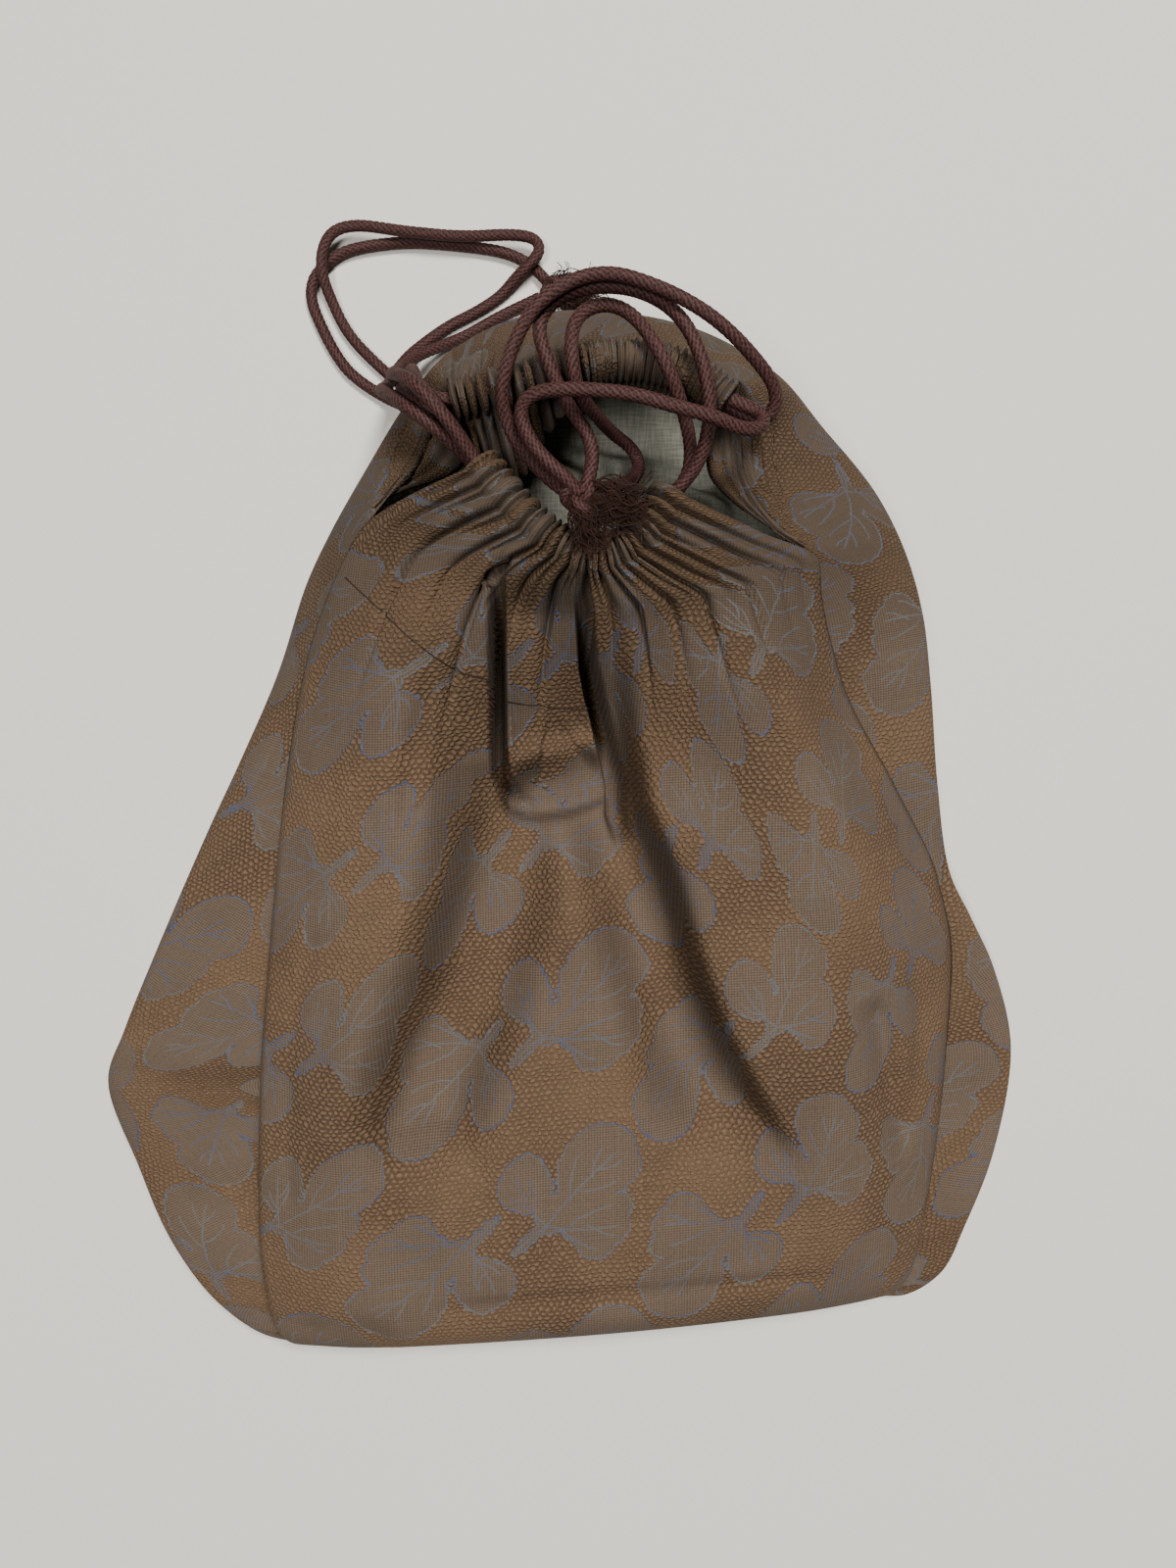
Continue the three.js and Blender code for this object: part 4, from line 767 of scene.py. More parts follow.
BACK_TURN = (30, 210)
BACK_RADIUS = 7.2
BACK_ROUND = 0.9
BACK_TURN_FROM = 0.7
SEAM_TUCK = 1.0
SKIRT_ROWS = 12
FLOOR_MIDDLE = np.array([-10.0, -30.0, 0.0])
CONTACT_INSET = 4
CONTACT_SHARE = 0.55
LEAN_BACK = math.radians(-12)
RIM_LEAN = math.radians(40)
HANDLE = 0.4
LEAST_CLIMB = 0.35
FLOOR_RINGS = np.linspace(0.03, 1, 7)
RISE_ROWS = 9
RISE_EASING = 12
FLAT_EASING = 40
TURN_ROWS = 44
TURN_CROWD = 1.7
COLUMNS_A_ROW = 10
FAR_FROM_RIM = 999.0
RIM_COLUMNS = 290
RIM_BLEND = 15
RIM_FIRST = [row["to"] for row in OUTLINE].index("rim")
RIM_ROWS = sum(row["to"] == "rim" for row in OUTLINE)


def through(points, places, closed=False):
    """A smooth line through points, read at places counted in points."""
    points = np.asarray(points, float)
    count = len(points)
    i = np.floor(places).astype(int)
    if not closed:
        i = np.clip(i, 0, count - 2)
        points = np.concatenate([[2 * points[0] - points[1]], points, [2 * points[-1] - points[-2]]])
        around = [points[i + k] for k in range(4)]
    else:
        around = [points[(i + k) % count] for k in (-1, 0, 1, 2)]
    w = (places - i)[:, None]
    gaps = [np.sqrt(np.linalg.norm(b - a, axis=1, keepdims=True)) for a, b in zip(around[:-1], around[1:])]
    d0, d1, d2 = (np.maximum(gap, 1e-3) for gap in gaps)
    p0, p1, p2, p3 = around
    start = ((p1 - p0) / d0 - (p2 - p0) / (d0 + d1) + (p2 - p1) / d1) * d1
    end = ((p2 - p1) / d1 - (p3 - p1) / (d1 + d2) + (p3 - p2) / d2) * d1
    return p1 + w * (start + w * (3 * (p2 - p1) - 2 * start - end + w * (start + end - 2 * (p2 - p1))))


before_rim = np.linspace(0, RIM_FIRST, RIM_FIRST * COLUMNS_A_ROW + 1)[:-1]
along_rim = np.linspace(RIM_FIRST, RIM_FIRST + RIM_ROWS - 1, RIM_COLUMNS)
rows_left = len(OUTLINE) - RIM_FIRST - RIM_ROWS + 1
after_rim = np.linspace(RIM_FIRST + RIM_ROWS - 1, len(OUTLINE), rows_left * COLUMNS_A_ROW + 1)[1:-1]
ring = np.concatenate([before_rim, along_rim, after_rim])
on_rim = np.arange(len(before_rim), len(before_rim) + RIM_COLUMNS)
rim_share = (along_rim - RIM_FIRST) / (RIM_ROWS - 1)
back_line = through(BACK_RIM, rim_share * (len(BACK_RIM) - 1))
back_out = outward_of(back_line)
back_rim = back_line + BACK_RADIUS * channel_wall(back_out, BACK_TURN[0])
widest = through([(row["x"], row["y"], row["z"]) for row in OUTLINE], ring, closed=True)


def edge_points(kind, at, beyond):
    """Points of the edge that the back panel turns in to, tucked just under the front panel at a seam."""
    if kind == "rim":
        return back_rim[np.round(at * (RIM_COLUMNS - 1)).astype(int)]
    if kind == "right_slit":
        return through(RIGHT_SLIT + [tuple(back_rim[0])], at * len(RIGHT_SLIT))
    if kind == "left_slit":
        return through(LEFT_SLIT + [tuple(back_rim[-1])], at * len(LEFT_SLIT))
    if kind == "bottom":
        base = FRONT_SECTIONS[0]
        left, middle, right = (np.array(base[name], float) for name in ("left", "middle", "right"))
        lean, bow = (right - left) / 2, (right + left) / 2 - middle
        return middle + at[:, None] * lean + at[:, None] ** 2 * bow - UP * SEAM_TUCK
    seam = section_values(kind, at)
    out = unit((beyond - seam) * [1, 1, 0])
    return seam - out * SEAM_TUCK - UP * (SEAM_TUCK + edge_roll(at)[:, None])


back_edge = np.zeros_like(widest)
for first in range(len(OUTLINE)):
    row, after = OUTLINE[first], OUTLINE[(first + 1) % len(OUTLINE)]
    here = np.where((ring >= first) & (ring < first + 1))[0]
    passed = ring[here] - first
    if row["to"] == after["to"]:
        at = row["at"] + (after["at"] - row["at"]) * passed
        back_edge[here] = edge_points(row["to"], at, widest[here])
    else:
        starts, ends = (edge_points(item["to"], np.full(len(here), float(item["at"])), widest[here])
                        for item in (row, after))
        back_edge[here] = starts + (ends - starts) * passed[:, None]
back_edge[on_rim] = back_rim

tangent = np.roll(widest, -1, axis=0) - np.roll(widest, 1, axis=0)
ring_out = unit(np.stack([tangent[:, 1], -tangent[:, 0], np.zeros(len(ring))], axis=-1))
inset = (CONTACT_INSET + CONTACT_SHARE * widest[:, 2])[:, None]

# Ways out round the outline, each eased with those near it so that no two of them cross
steps = np.linalg.norm(np.roll(widest, -1, axis=0) - widest, axis=1)
run = np.cumsum(steps) - steps
apart = np.abs(run[:, None] - run)
apart = np.minimum(apart, steps.sum() - apart)
rise_out = unit((np.exp(-(apart / RISE_EASING) ** 2) * (steps + np.roll(steps, 1))) @ ring_out)


def back_rise(angle):
    points = widest - rise_out * inset * (1 - math.sin(angle))
    points[:, 2] = widest[:, 2] * (1 - math.cos(angle))
    return points


span = back_edge - widest
level = np.linalg.norm(span[:, :2], axis=1)
climb = np.arctan2(span[:, 2], level)
rim_weight = np.zeros(len(ring))
rim_weight[on_rim] = 1
blend = np.hanning(RIM_BLEND) / np.hanning(RIM_BLEND).sum()
rim_weight = np.convolve(np.tile(rim_weight, 3), blend, "same")[len(ring):2 * len(ring)]
arrive = climb + LEAN_BACK + RIM_LEAN * rim_weight
reach = HANDLE * np.linalg.norm(span, axis=1)
inward = span * [1, 1, 0] / np.maximum(level, 1e-6)[:, None]
before = back_edge - inward * (reach * np.cos(arrive))[:, None] - UP * (reach * np.sin(arrive))[:, None]
after = widest + UP * (reach * np.sin(np.maximum(climb, LEAST_CLIMB)))[:, None]


def back_turn(share):
    rest = 1 - share
    return (rest ** 3 * widest + 3 * rest * rest * share * after + 3 * rest * share * share * before
            + share ** 3 * back_edge)


contact = back_rise(0)
rows = [FLOOR_MIDDLE + (contact - FLOOR_MIDDLE) * scale for scale in FLOOR_RINGS]
rows += [back_rise(angle) for angle in np.linspace(0, math.pi / 2, RISE_ROWS + 1)[1:]]
turn_shares = 1 - (1 - np.linspace(0, 1, TURN_ROWS + 1)[1:]) ** TURN_CROWD
rows += [back_turn(share) for share in turn_shares]
tray = np.array(rows)
wrapped = np.concatenate([tray[:, -1:], tray, tray[:, :1]], axis=1)
tray_normals = grid_normals(wrapped)[:, 1:-1]
gathered = gather_depth(BACK_PLEATS, rim_share, 1 - turn_shares, BACK_ROUND)[..., None]
turning = ease((turn_shares - BACK_TURN_FROM) / (1 - BACK_TURN_FROM))[:, None, None]
first_turn = len(tray) - TURN_ROWS
press_way = (tray_normals[first_turn:, on_rim] * (1 - turning)
             + channel_wall(back_out, BACK_TURN[0])[None] * turning)
tray[first_turn:, on_rim] -= press_way * gathered
back_ruche = gather_depth(BACK_PLEATS, rim_share, np.zeros(1), BACK_ROUND)[0][:, None]
back_hem = np.array([back_line + channel_wall(back_out, turn) * (BACK_RADIUS - back_ruche)
                     for turn in np.linspace(*BACK_TURN, CHANNEL_ROWS + 1)[1:]])

# Beside each slit the edge lies in long folds that run together at the seam
SLIT_FOLDS = 5
SLIT_FOLD_DEPTH = 4.2
SLIT_BAND = (13, 30)
SLIT_FADE = 0.35
SLIT_ROUND = 0.8
rim_last = RIM_FIRST + RIM_ROWS - 1
slit_rows = sum(row["to"] == "right_slit" for row in OUTLINE)
turn_run = running_length(tray[first_turn - 1:], 0)[1:]
from_edge = turn_run[-1] - turn_run
past_seam = np.where(ring < RIM_FIRST, ring - RIM_FIRST, rim_last - ring) / slit_rows + 1
before_rim_end = np.where(ring < RIM_FIRST, RIM_FIRST - ring, ring - rim_last)
held = ease(past_seam / SLIT_FADE) * ease(before_rim_end / SLIT_FADE)
band = SLIT_BAND[0] + (SLIT_BAND[1] - SLIT_BAND[0]) * np.clip(past_seam, 0, 1)
across_band = from_edge / band
fold = 1 - np.abs(np.cos(np.pi * SLIT_FOLDS * across_band)) ** SLIT_ROUND
sunk = SLIT_FOLD_DEPTH * fold * (1 - ease(across_band ** 2)) * held
tray[first_turn:] -= tray_normals[first_turn:] * sunk[..., None]

# Inside the mouth the turned-in cloth hangs on below the channel in pleats, longest at the left slit
SKIRT_COLUMNS = ("at", "inward", "down")
SKIRT = [dict(zip(SKIRT_COLUMNS, row)) for row in (
    (0, 0.5, 3), (0.3, 0.5, 4), (0.55, 2, 7), (0.66, 8, 12), (0.76, 17, 17), (0.88, 23, 20), (1, 23, 20),
)]
SKIRT_AWAY = 0.3
SKIRT_SETTLES = 0.3
SKIRT_FALL = 1.2
skirt_at = [row["at"] for row in SKIRT]
skirt_in, skirt_down = (smooth(skirt_at, [row[name] for row in SKIRT], rim_share)[:, None]
                        for name in ("inward", "down"))
skirt_top = back_line + channel_wall(back_out, BACK_TURN[1]) * BACK_RADIUS
skirt_shares = np.linspace(0, 1, SKIRT_ROWS + 1)
skirt = np.array([skirt_top - back_out * skirt_in * share - UP * skirt_down * share ** SKIRT_FALL
                  for share in skirt_shares])
hanging = ease(skirt_shares / SKIRT_SETTLES)[:, None, None]
by_channel = gather_depth(BACK_PLEATS, rim_share, skirt_shares * 0, BACK_ROUND)[..., None]
below = gather_depth(SKIRT_PLEATS, rim_share, skirt_shares * SKIRT_AWAY + PLEAT_DEEPENS)[..., None]
skirt_press = by_channel * (1 - hanging) + below * hanging
skirt_way = unit(grid_normals(skirt) * hanging + channel_wall(back_out, BACK_TURN[1]) * (1 - hanging))
back_hem = np.concatenate([back_hem, (skirt - skirt_way * skirt_press)[1:]])
HEM_ROWS = CHANNEL_ROWS + SKIRT_ROWS

# A facing is turned in along each slit; the left one is broad and lies in soft pleats
FACING_COLUMNS = ("first", "last", "width", "level", "fall", "folds", "fold_depth")
SLIT_FACINGS = [dict(zip(FACING_COLUMNS, row)) for row in (
    (RIM_FIRST - slit_rows, RIM_FIRST, 14, 0.85, 0.3, 2.5, 3.2),
    (rim_last, rim_last + slit_rows, 20, 0.7, 0.9, 2.5, 3.0),
)]
SLIT_FACING_ROWS = 14
FACING_OPENS = 0.6
FACING_FALL = 1.4
FACING_ROUND = 0.6
MOUTH_MIDDLE = np.array([0.0, 105.0, 0.0])
facing_strips = []
for row in SLIT_FACINGS:
    columns = np.where((ring > row["first"]) & (ring < row["last"]))[0]
    way_in = unit((MOUTH_MIDDLE - tray[-1, columns]) * [1, 1, 0])
    width = row["width"] * ease(past_seam[columns] / FACING_OPENS)[:, None]
    strip = []
    for share in np.linspace(0, 1, SLIT_FACING_ROWS + 1)[1:]:
        sunk = row["fold_depth"] * (1 - abs(math.cos(math.pi * row["folds"] * share)) ** FACING_ROUND)
        down = width * row["fall"] * share ** FACING_FALL + sunk * ease(width / row["width"])
        strip.append(tray[-1, columns] + way_in * width * row["level"] * share - UP * down)
    facing_strips.append((columns, np.array(strip)))

# The flat cloth of the back: the floor as it lies, and each way out from it unrolled
unrolled = running_length(tray[len(FLOOR_RINGS) - 1:], 0)
flat_out = ring_out
for _ in range(FLAT_EASING):
    flat_out = unit((np.roll(flat_out, 1, axis=0) + flat_out * 2 + np.roll(flat_out, -1, axis=0)) / 4)
tray_flat = tray[..., :2].copy()
hem_steps = (np.arange(1, HEM_ROWS + 1) * HEM_STEP)[:, None, None]
tray_flat[len(FLOOR_RINGS) - 1:] = (contact[None] + flat_out[None] * unrolled[..., None])[..., :2]
hem_flat = tray_flat[-1, on_rim][None] + flat_out[on_rim][None, :, :2] * hem_steps
tray_rim = np.full(tray.shape[:2], FAR_FROM_RIM)
tray_rim[len(FLOOR_RINGS) - 1:] = unrolled[-1] - unrolled + RIM_DARK_TO * np.maximum(0, -past_seam)
SEEN_FROM_BELOW = [-1, 1]

numbers = numbered(*tray.shape[:2])
hem_numbers = numbers.size + numbered(HEM_ROWS, RIM_COLUMNS)
quads = [quads_between(numbers, closed=True), quads_between([numbers[-1, on_rim], *hem_numbers])]
back_points = [tray.reshape(-1, 3), back_hem.reshape(-1, 3)]
back_flat = [tray_flat.reshape(-1, 2), hem_flat.reshape(-1, 2)]
placed = numbers.size + hem_numbers.size
for columns, strip in facing_strips:
    strip_numbers = placed + numbered(*strip.shape[:2])
    quads.append(quads_between([numbers[-1, columns], *strip_numbers]))
    steps = (np.arange(1, len(strip) + 1) * HEM_STEP)[:, None, None]
    strip_flat = tray_flat[-1, columns][None] + flat_out[columns][None, :, :2] * steps
    back_points.append(strip.reshape(-1, 3))
    back_flat.append(strip_flat.reshape(-1, 2))
    placed += strip_numbers.size
back_points, back_flat = np.concatenate(back_points), np.concatenate(back_flat) * SEEN_FROM_BELOW
back_rims = np.concatenate([tray_rim.ravel(), np.zeros(len(back_points) - numbers.size)])
back_panel = thick_cloth("back_panel_cloth", back_points, np.concatenate(quads), CLOTH,
                         back_flat, back_flat, back_rims, patches=[numbers[0][::-1]])
back_panel.data.materials.append(jacquard)
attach(back_panel, "root")
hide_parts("back_panel")

# The lining is thin plain grey-green cotton, loose inside the back panel. Only what lies under the mouth
# shows, heaped up a little in soft folds.
LINING = 0.6
LINING_GAP = 0.7
LINING_STAND_OFF = 2.0
LINING_TURN = (50, 84)
LINING_TURN_AT = (14, 36)
LINING_ROWS = 12
LINING_COLUMNS = 320
LINING_SETTLES = 0.5
LINING_OFF_WALL = 0.1
LINING_FLOOR_RINGS = np.linspace(0.02, 1, 84)
LINING_FOLDS = [dict(zip(FOLD_COLUMNS, row)) for row in (
    (-32, 25, 25, 1, 6, ((-60, 92), (-30, 110), (0, 121), (30, 122), (60, 112), (80, 92))),
    (34, 6, 5, 1, 2, ((-6, 149), (14, 144), (32, 143), (46, 134), (52, 114))),
    (30, 6, 5, -1, 2, ((12, 117), (28, 127), (42, 126), (62, 137))),
    (26, 5, 4, 1, 2, ((-26, 143), (-10, 135), (2, 130), (10, 116))),
    (24, 5, 4, -1, 2, ((20, 102), (38, 110), (56, 107), (80, 114))),
)]
lining_columns = np.linspace(0, len(OUTLINE), LINING_COLUMNS, endpoint=False)
pick = np.searchsorted(ring, lining_columns).clip(0, len(ring) - 1)
top_turn = LINING_TURN[0] + (LINING_TURN[1] - LINING_TURN[0]) * ease(
    (widest[:, 2] - LINING_TURN_AT[0]) / (LINING_TURN_AT[1] - LINING_TURN_AT[0]))
lining_rows = []
for share in np.linspace(0, 1, LINING_ROWS + 1):
    angle = np.radians(top_turn * share)
    points = widest - rise_out * inset * (1 - np.sin(angle))[:, None]
    points[:, 2] = widest[:, 2] * (1 - np.cos(angle))
    off = CLOTH + LINING_GAP + LINING_STAND_OFF * ease(share)
    lining_rows.append((points - rise_out * off * share + UP * (off * (1 - LINING_SETTLES * share)))[pick])
floor_ring = lining_rows[0]
lining_middle = FLOOR_MIDDLE + UP * floor_ring[0, 2]
lining_floor = [lining_middle + (floor_ring - lining_middle) * scale for scale in LINING_FLOOR_RINGS]
lining_points = np.array(lining_floor + lining_rows[1:])
heaped = -trough_depth(LINING_FOLDS, lining_points[..., 0], lining_points[..., 1])
off_wall = np.concatenate([ease((1 - LINING_FLOOR_RINGS) / LINING_OFF_WALL), np.zeros(LINING_ROWS)])
lining_points[..., 2] += np.maximum(heaped, 0) * off_wall[:, None]
numbers = numbered(*lining_points.shape[:2])
lining_flat = lining_points[..., :2].reshape(-1, 2)
lining = thick_cloth(
    "lining_cloth", lining_points.reshape(-1, 3), quads_between(numbers, closed=True)[:, ::-1], LINING,
    lining_flat, lining_flat, np.full(numbers.size, FAR_FROM_RIM), patches=[numbers[0]])
# The lining's colours are partly its own grey-green and partly painted light: they are made lighter than the
# cotton, standing in for light that doesn't reach into the mouth
LINING_THREAD_BRIGHTENED = (0.54, 0.54, 0.45, 1)
LINING_SLUB_BRIGHTENED = (0.31, 0.315, 0.26, 1)
LINING_WAVES = ((0.5, 0), (0, 0.5))
LINING_GRAIN = ((1.4, 0.12, 2.0), (0.12, 1.4, 2.0))
LINING_RANGE = (0.7, 1.3)
THREAD_TONE = 0.08
THREAD_HEIGHT = 0.05


def make_lining():
    material, tree, shader = new_material("lining_cotton", 0.85)
    flat = point_value(tree, "weave", "Vector")
    threads = waves_along(tree, flat, LINING_WAVES)
    slubs = calc(tree, "MULTIPLY_ADD", threads, THREAD_TONE, grained(tree, flat, LINING_GRAIN))
    tone = between(tree, slubs, *LINING_RANGE)
    tree.links.new(tint(tree, tone, LINING_SLUB_BRIGHTENED, LINING_THREAD_BRIGHTENED), shader.inputs["Base Color"])
    link_bump(tree, shader, threads, THREAD_HEIGHT * MM)
    return material


lining.data.materials.append(make_lining())
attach(lining, "root")
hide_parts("lining")

# Three lengths of round braided cord, 5 mm thick and dark maroon. Each runs through a channel, and they
# are knotted together in twos at the front rim and on the floor behind the bag.
CORD = 5.0
CORD_SIDES = 20
CORD_STEP = 0.62
CORD_EASING = 60
CORD_FINENESS = 40
PLAITS = 8
PLAIT_PITCH = 2.56
PLAIT_HEIGHT = 0.55
PLAIT_ROUND = 0.8
PLAIT_ENDS = 0.55
CORD_STACK = 2.7
CHANNEL_STATIONS = 7
FIRST_CORD_TO_BACK = [
    (-3, 97.6, 104.6), (-6.4, 101.2, 107.2), (-11.5, 105.5, 108.4), (-17.5, 111.5, 109.2),
    (-21.5, 118.5, 110.8), (-22.5, 124, 113), (-19, 127, 115.4), (-11, 128, 117.8),
    (2, 127.5, 118.8), (15, 126, 118.8),
    (29, 122.5, 117.4), (42, 120, 114.4), (51, 117.5, 110), (58.5, 119.5, 105.4), (59.5, 125, 102.4),
    (54.5, 127.5, 101),
]
FIRST_CORD_LOOP = [
    (-51.5, 130, 100.2), (-56.5, 134.5, 100.2), (-61, 143, 89), (-64, 151, 70), (-66, 155, 51),
    (-68.5, 159, 30), (-73, 163, 12), (-80, 169, 4.2), (-90, 178, 3), (-101, 190, 3), (-108.5, 205, 4),
    (-111, 213, 8.4), (-111, 221, 9.2), (-107, 230, 8.8), (-98, 233, 8.5), (-76, 230.5, 8.5),
    (-52.5, 228.5, 8.5), (-30, 229, 8.6), (-21, 227, 8.8), (-19.5, 222, 9.2), (-24, 217, 9),
    (-30, 212.5, 6), (-36, 206.5, 3), (-48, 198.5, 3), (-58, 193.5, 3), (-67.5, 186.5, 4),
    (-75, 178.5, 8), (-79.5, 170.5, 12.5), (-81, 162, 22), (-80, 153.5, 42), (-76.5, 146, 62),
    (-70, 137.5, 84), (-61, 127.5, 99.5), (-52, 121, 100.5), (-44.5, 115, 95),
]
FIRST_CORD_TO_KNOT = [
    (34, 105.5, 92), (35.5, 112, 94.5), (34.5, 118.5, 98.5), (32, 125, 104.5), (29, 131.5, 110.5),
    (25.5, 138, 113.6), (21.5, 145, 113.8), (17, 152, 112.4), (11.5, 157.5, 110), (5.5, 159.5, 109),
    (0, 157.5, 110), (-4, 153, 112.4), (-5.5, 147, 113.8), (-5.2, 140, 114.2), (-4.4, 133.8, 112),
    (-2.5, 130, 106.5), (0.5, 128.2, 98.5), (4.8, 126.8, 87.5), (10, 125.5, 75), (15.5, 123.5, 68.5),
    (19, 119, 66), (18, 113, 70.5), (14, 107.5, 80), (9, 103.5, 91), (4.5, 100.2, 99),
]
SECOND_CORD_ARC = [
    (53.5, 126.5, 95), (59, 124, 95), (64, 127.5, 97.5), (63, 134, 102.5), (56, 140.5, 109),
    (48, 146.5, 114.6), (39, 152.5, 118), (28, 158, 120), (17.5, 162, 120.6), (8, 164.5, 120.6),
    (-2, 163.5, 120.4), (-9.5, 160, 120), (-16, 155.5, 119), (-21, 149.5, 117.4), (-24.5, 143, 115.6),
    (-27, 136, 114.2), (-28.5, 129, 110.5), (-27.5, 122, 105), (-23, 114, 101.5), (-16.5, 106.5, 100.2),
    (-10, 100.6, 101), (-5.5, 97.4, 102.4),
]
SECOND_CORD_LOOP = [
    (-52, 128.4, 94.4), (-58.5, 131, 93.5), (-65, 138, 83), (-68.5, 146, 66), (-69.5, 150.5, 50),
    (-71.5, 153.5, 30), (-76, 157, 12), (-84, 162, 4), (-101, 174, 3), (-112, 192, 3), (-117, 206, 3),
    (-116, 213, 3), (-112, 218, 3), (-104, 224, 3), (-92, 227, 3), (-76.5, 228.5, 3), (-53, 227, 3),
    (-33, 223.5, 3), (-23, 218, 3), (-17.6, 211.9, 4),
]
SECOND_CORD_FRONT_ARC = [
    (-1.4, 97.8, 104), (0.5, 102.8, 105.2), (1.5, 109, 103.4), (1, 116, 102), (-4, 123, 104.8),
    (-8.4, 129, 108.6), (-11.6, 135, 112.2), (-14, 141, 113.6), (-16, 147, 113.8),
    (-16, 152.5, 113.4), (-12.5, 157.5, 113.6),
    (-6.5, 161, 114.2), (0.5, 162.6, 114.6), (8.5, 162.8, 114.8), (16.5, 161.4, 114.8), (24, 158, 114.7),
    (30.5, 152.5, 114.6), (35, 145, 114.4), (38, 137, 113.8), (39.8, 129, 111.8), (40.5, 121, 107.8),
    (39, 113, 102.6), (35.5, 106, 98.5),
]
SECOND_CORD_TO_LEFT_KNOT = [
    (-43, 117, 101.5), (-50, 125.5, 106.5), (-58, 134, 106), (-66.5, 142.5, 90), (-72.5, 151.5, 63),
    (-75.5, 159.5, 43), (-75, 168, 25), (-71, 175.5, 15.5), (-63.5, 181.5, 9), (-55, 187, 4),
    (-47, 191.5, 3), (-38.5, 196.5, 3), (-28, 201.5, 3.2), (-20.1, 204.7, 4.6),
]


def channel_run(line, lift):
    stations = np.linspace(0, len(line) - 1, CHANNEL_STATIONS + 1).round().astype(int)
    return [tuple(point) for point in line[stations] + UP * lift]


def even_path(points, step):
    fine = through(points, np.linspace(0, len(points) - 1, len(points) * CORD_FINENESS))
    run = np.concatenate([[0], np.cumsum(np.linalg.norm(np.diff(fine, axis=0), axis=1))])
    count = int(round(run[-1] / step)) + 1
    places = np.linspace(0, run[-1], count)
    path = np.stack([np.interp(places, run, fine[:, axis]) for axis in range(3)], axis=-1)
    for _ in range(CORD_EASING):
        path[1:-1] = (path[:-2] + 2 * path[1:-1] + path[2:]) / 4
    return path, np.linalg.norm(np.diff(path, axis=0), axis=1).sum()


def carried_frames(path):
    """Two directions across a path, carried along it without twist."""
    along = unit(np.gradient(path, axis=0))
    start = np.cross(along[0], UP)
    side = start / np.linalg.norm(start)
    sides = []
    for way in along:
        side = side - way * side.dot(way)
        side = side / np.linalg.norm(side)
        sides.append(side)
    sides = np.array(sides)
    return sides, np.cross(along, sides)


def ways_round(path, count):
    side, lift = carried_frames(path)
    angles = np.linspace(0, 2 * math.pi, count, endpoint=False)
    return side[:, None] * np.cos(angles)[:, None] + lift[:, None] * np.sin(angles)[:, None]


def plait_height(turns, run):
    """Height of the braid's surface: two sets of plaits, each over and under the other by turns."""
    a, b = PLAITS * turns + run / PLAIT_PITCH, PLAITS * turns - run / PLAIT_PITCH
    over = (np.floor(a) + np.floor(b)) % 2 == 0
    ridge, along = np.where(over, a, b) % 1, np.where(over, b, a) % 1
    return np.sin(np.pi * ridge) ** PLAIT_ROUND * (PLAIT_ENDS + (1 - PLAIT_ENDS) * np.sin(np.pi * along))


def braided_tube(name, path, thickness, length):
    """A closed tube round a path, with the plaits of the braid on it."""
    turns = np.linspace(0, 1, CORD_SIDES, endpoint=False)[None, :]
    height = plait_height(turns, np.linspace(0, length, len(path))[:, None])
    radii = thickness / 2 - PLAIT_HEIGHT * (1 - height)
    rings = path[:, None] + ways_round(path, CORD_SIDES) * radii[..., None]
    numbers = numbered(len(path), CORD_SIDES)
    polygons = quads_between(numbers, closed=True).tolist()
    polygons += [numbers[0][::-1].tolist(), numbers[-1].tolist()]
    piece = new_piece(name, rings.reshape(-1, 3), polygons)
    mesh = piece.data
    mesh.attributes.new("plait", "FLOAT", "POINT").data.foreach_set("value", height.ravel())
    mesh.polygons.foreach_set("use_smooth", np.ones(len(mesh.polygons), bool))
    return piece


def braided_cord(name, points):
    path, length = even_path(points, CORD_STEP)
    return braided_tube(name, path, CORD, length), path * MM, length * MM


CORD_TOP = (0.095, 0.040, 0.036, 1)
# The gap colour is painted shade, darkening the cord in the hollows between its plaits
CORD_GAP_SHADE = (0.012, 0.004, 0.004, 1)
CORD_FUZZ = 900.0
CORD_FUZZ_TONE = 0.3
CORD_RANGE = (0.35, 1.2)
CORD_FUZZ_HEIGHT = 0.12


def make_braid():
    material, tree, shader = new_material("braided_cord", 0.7)
    plait = point_value(tree, "plait", "Fac")
    place = add_node(tree, "ShaderNodeTexCoord").outputs["Object"]
    fuzz = noise(tree, place, CORD_FUZZ, 3.0)
    # Painted shade between the plaits, by the braid's height
    tone = between(tree, calc(tree, "MULTIPLY_ADD", fuzz, CORD_FUZZ_TONE, plait), *CORD_RANGE)
    tree.links.new(tint(tree, tone, CORD_GAP_SHADE, CORD_TOP), shader.inputs["Base Color"])
    link_bump(tree, shader, fuzz, CORD_FUZZ_HEIGHT * MM)
    return material


braid = make_braid()
CORD_ROUTES = {
    "drawcord_1": (FIRST_CORD_TO_BACK + channel_run(back_line, CORD_STACK) + FIRST_CORD_LOOP
                   + channel_run(front_line, -CORD_STACK) + FIRST_CORD_TO_KNOT),
    "drawcord_2_back": (SECOND_CORD_LOOP[::-1] + channel_run(back_line[::-1], -CORD_STACK)
                        + SECOND_CORD_ARC),
    "drawcord_2_front": (SECOND_CORD_FRONT_ARC + channel_run(front_line[::-1], CORD_STACK)
                         + SECOND_CORD_TO_LEFT_KNOT),
}
for node_name, route in CORD_ROUTES.items():
    cord, cord_path, cord_length = braided_cord(node_name + "_braid", route)
    cord.data.materials.append(braid)
    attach(cord, "root")
    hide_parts(node_name)

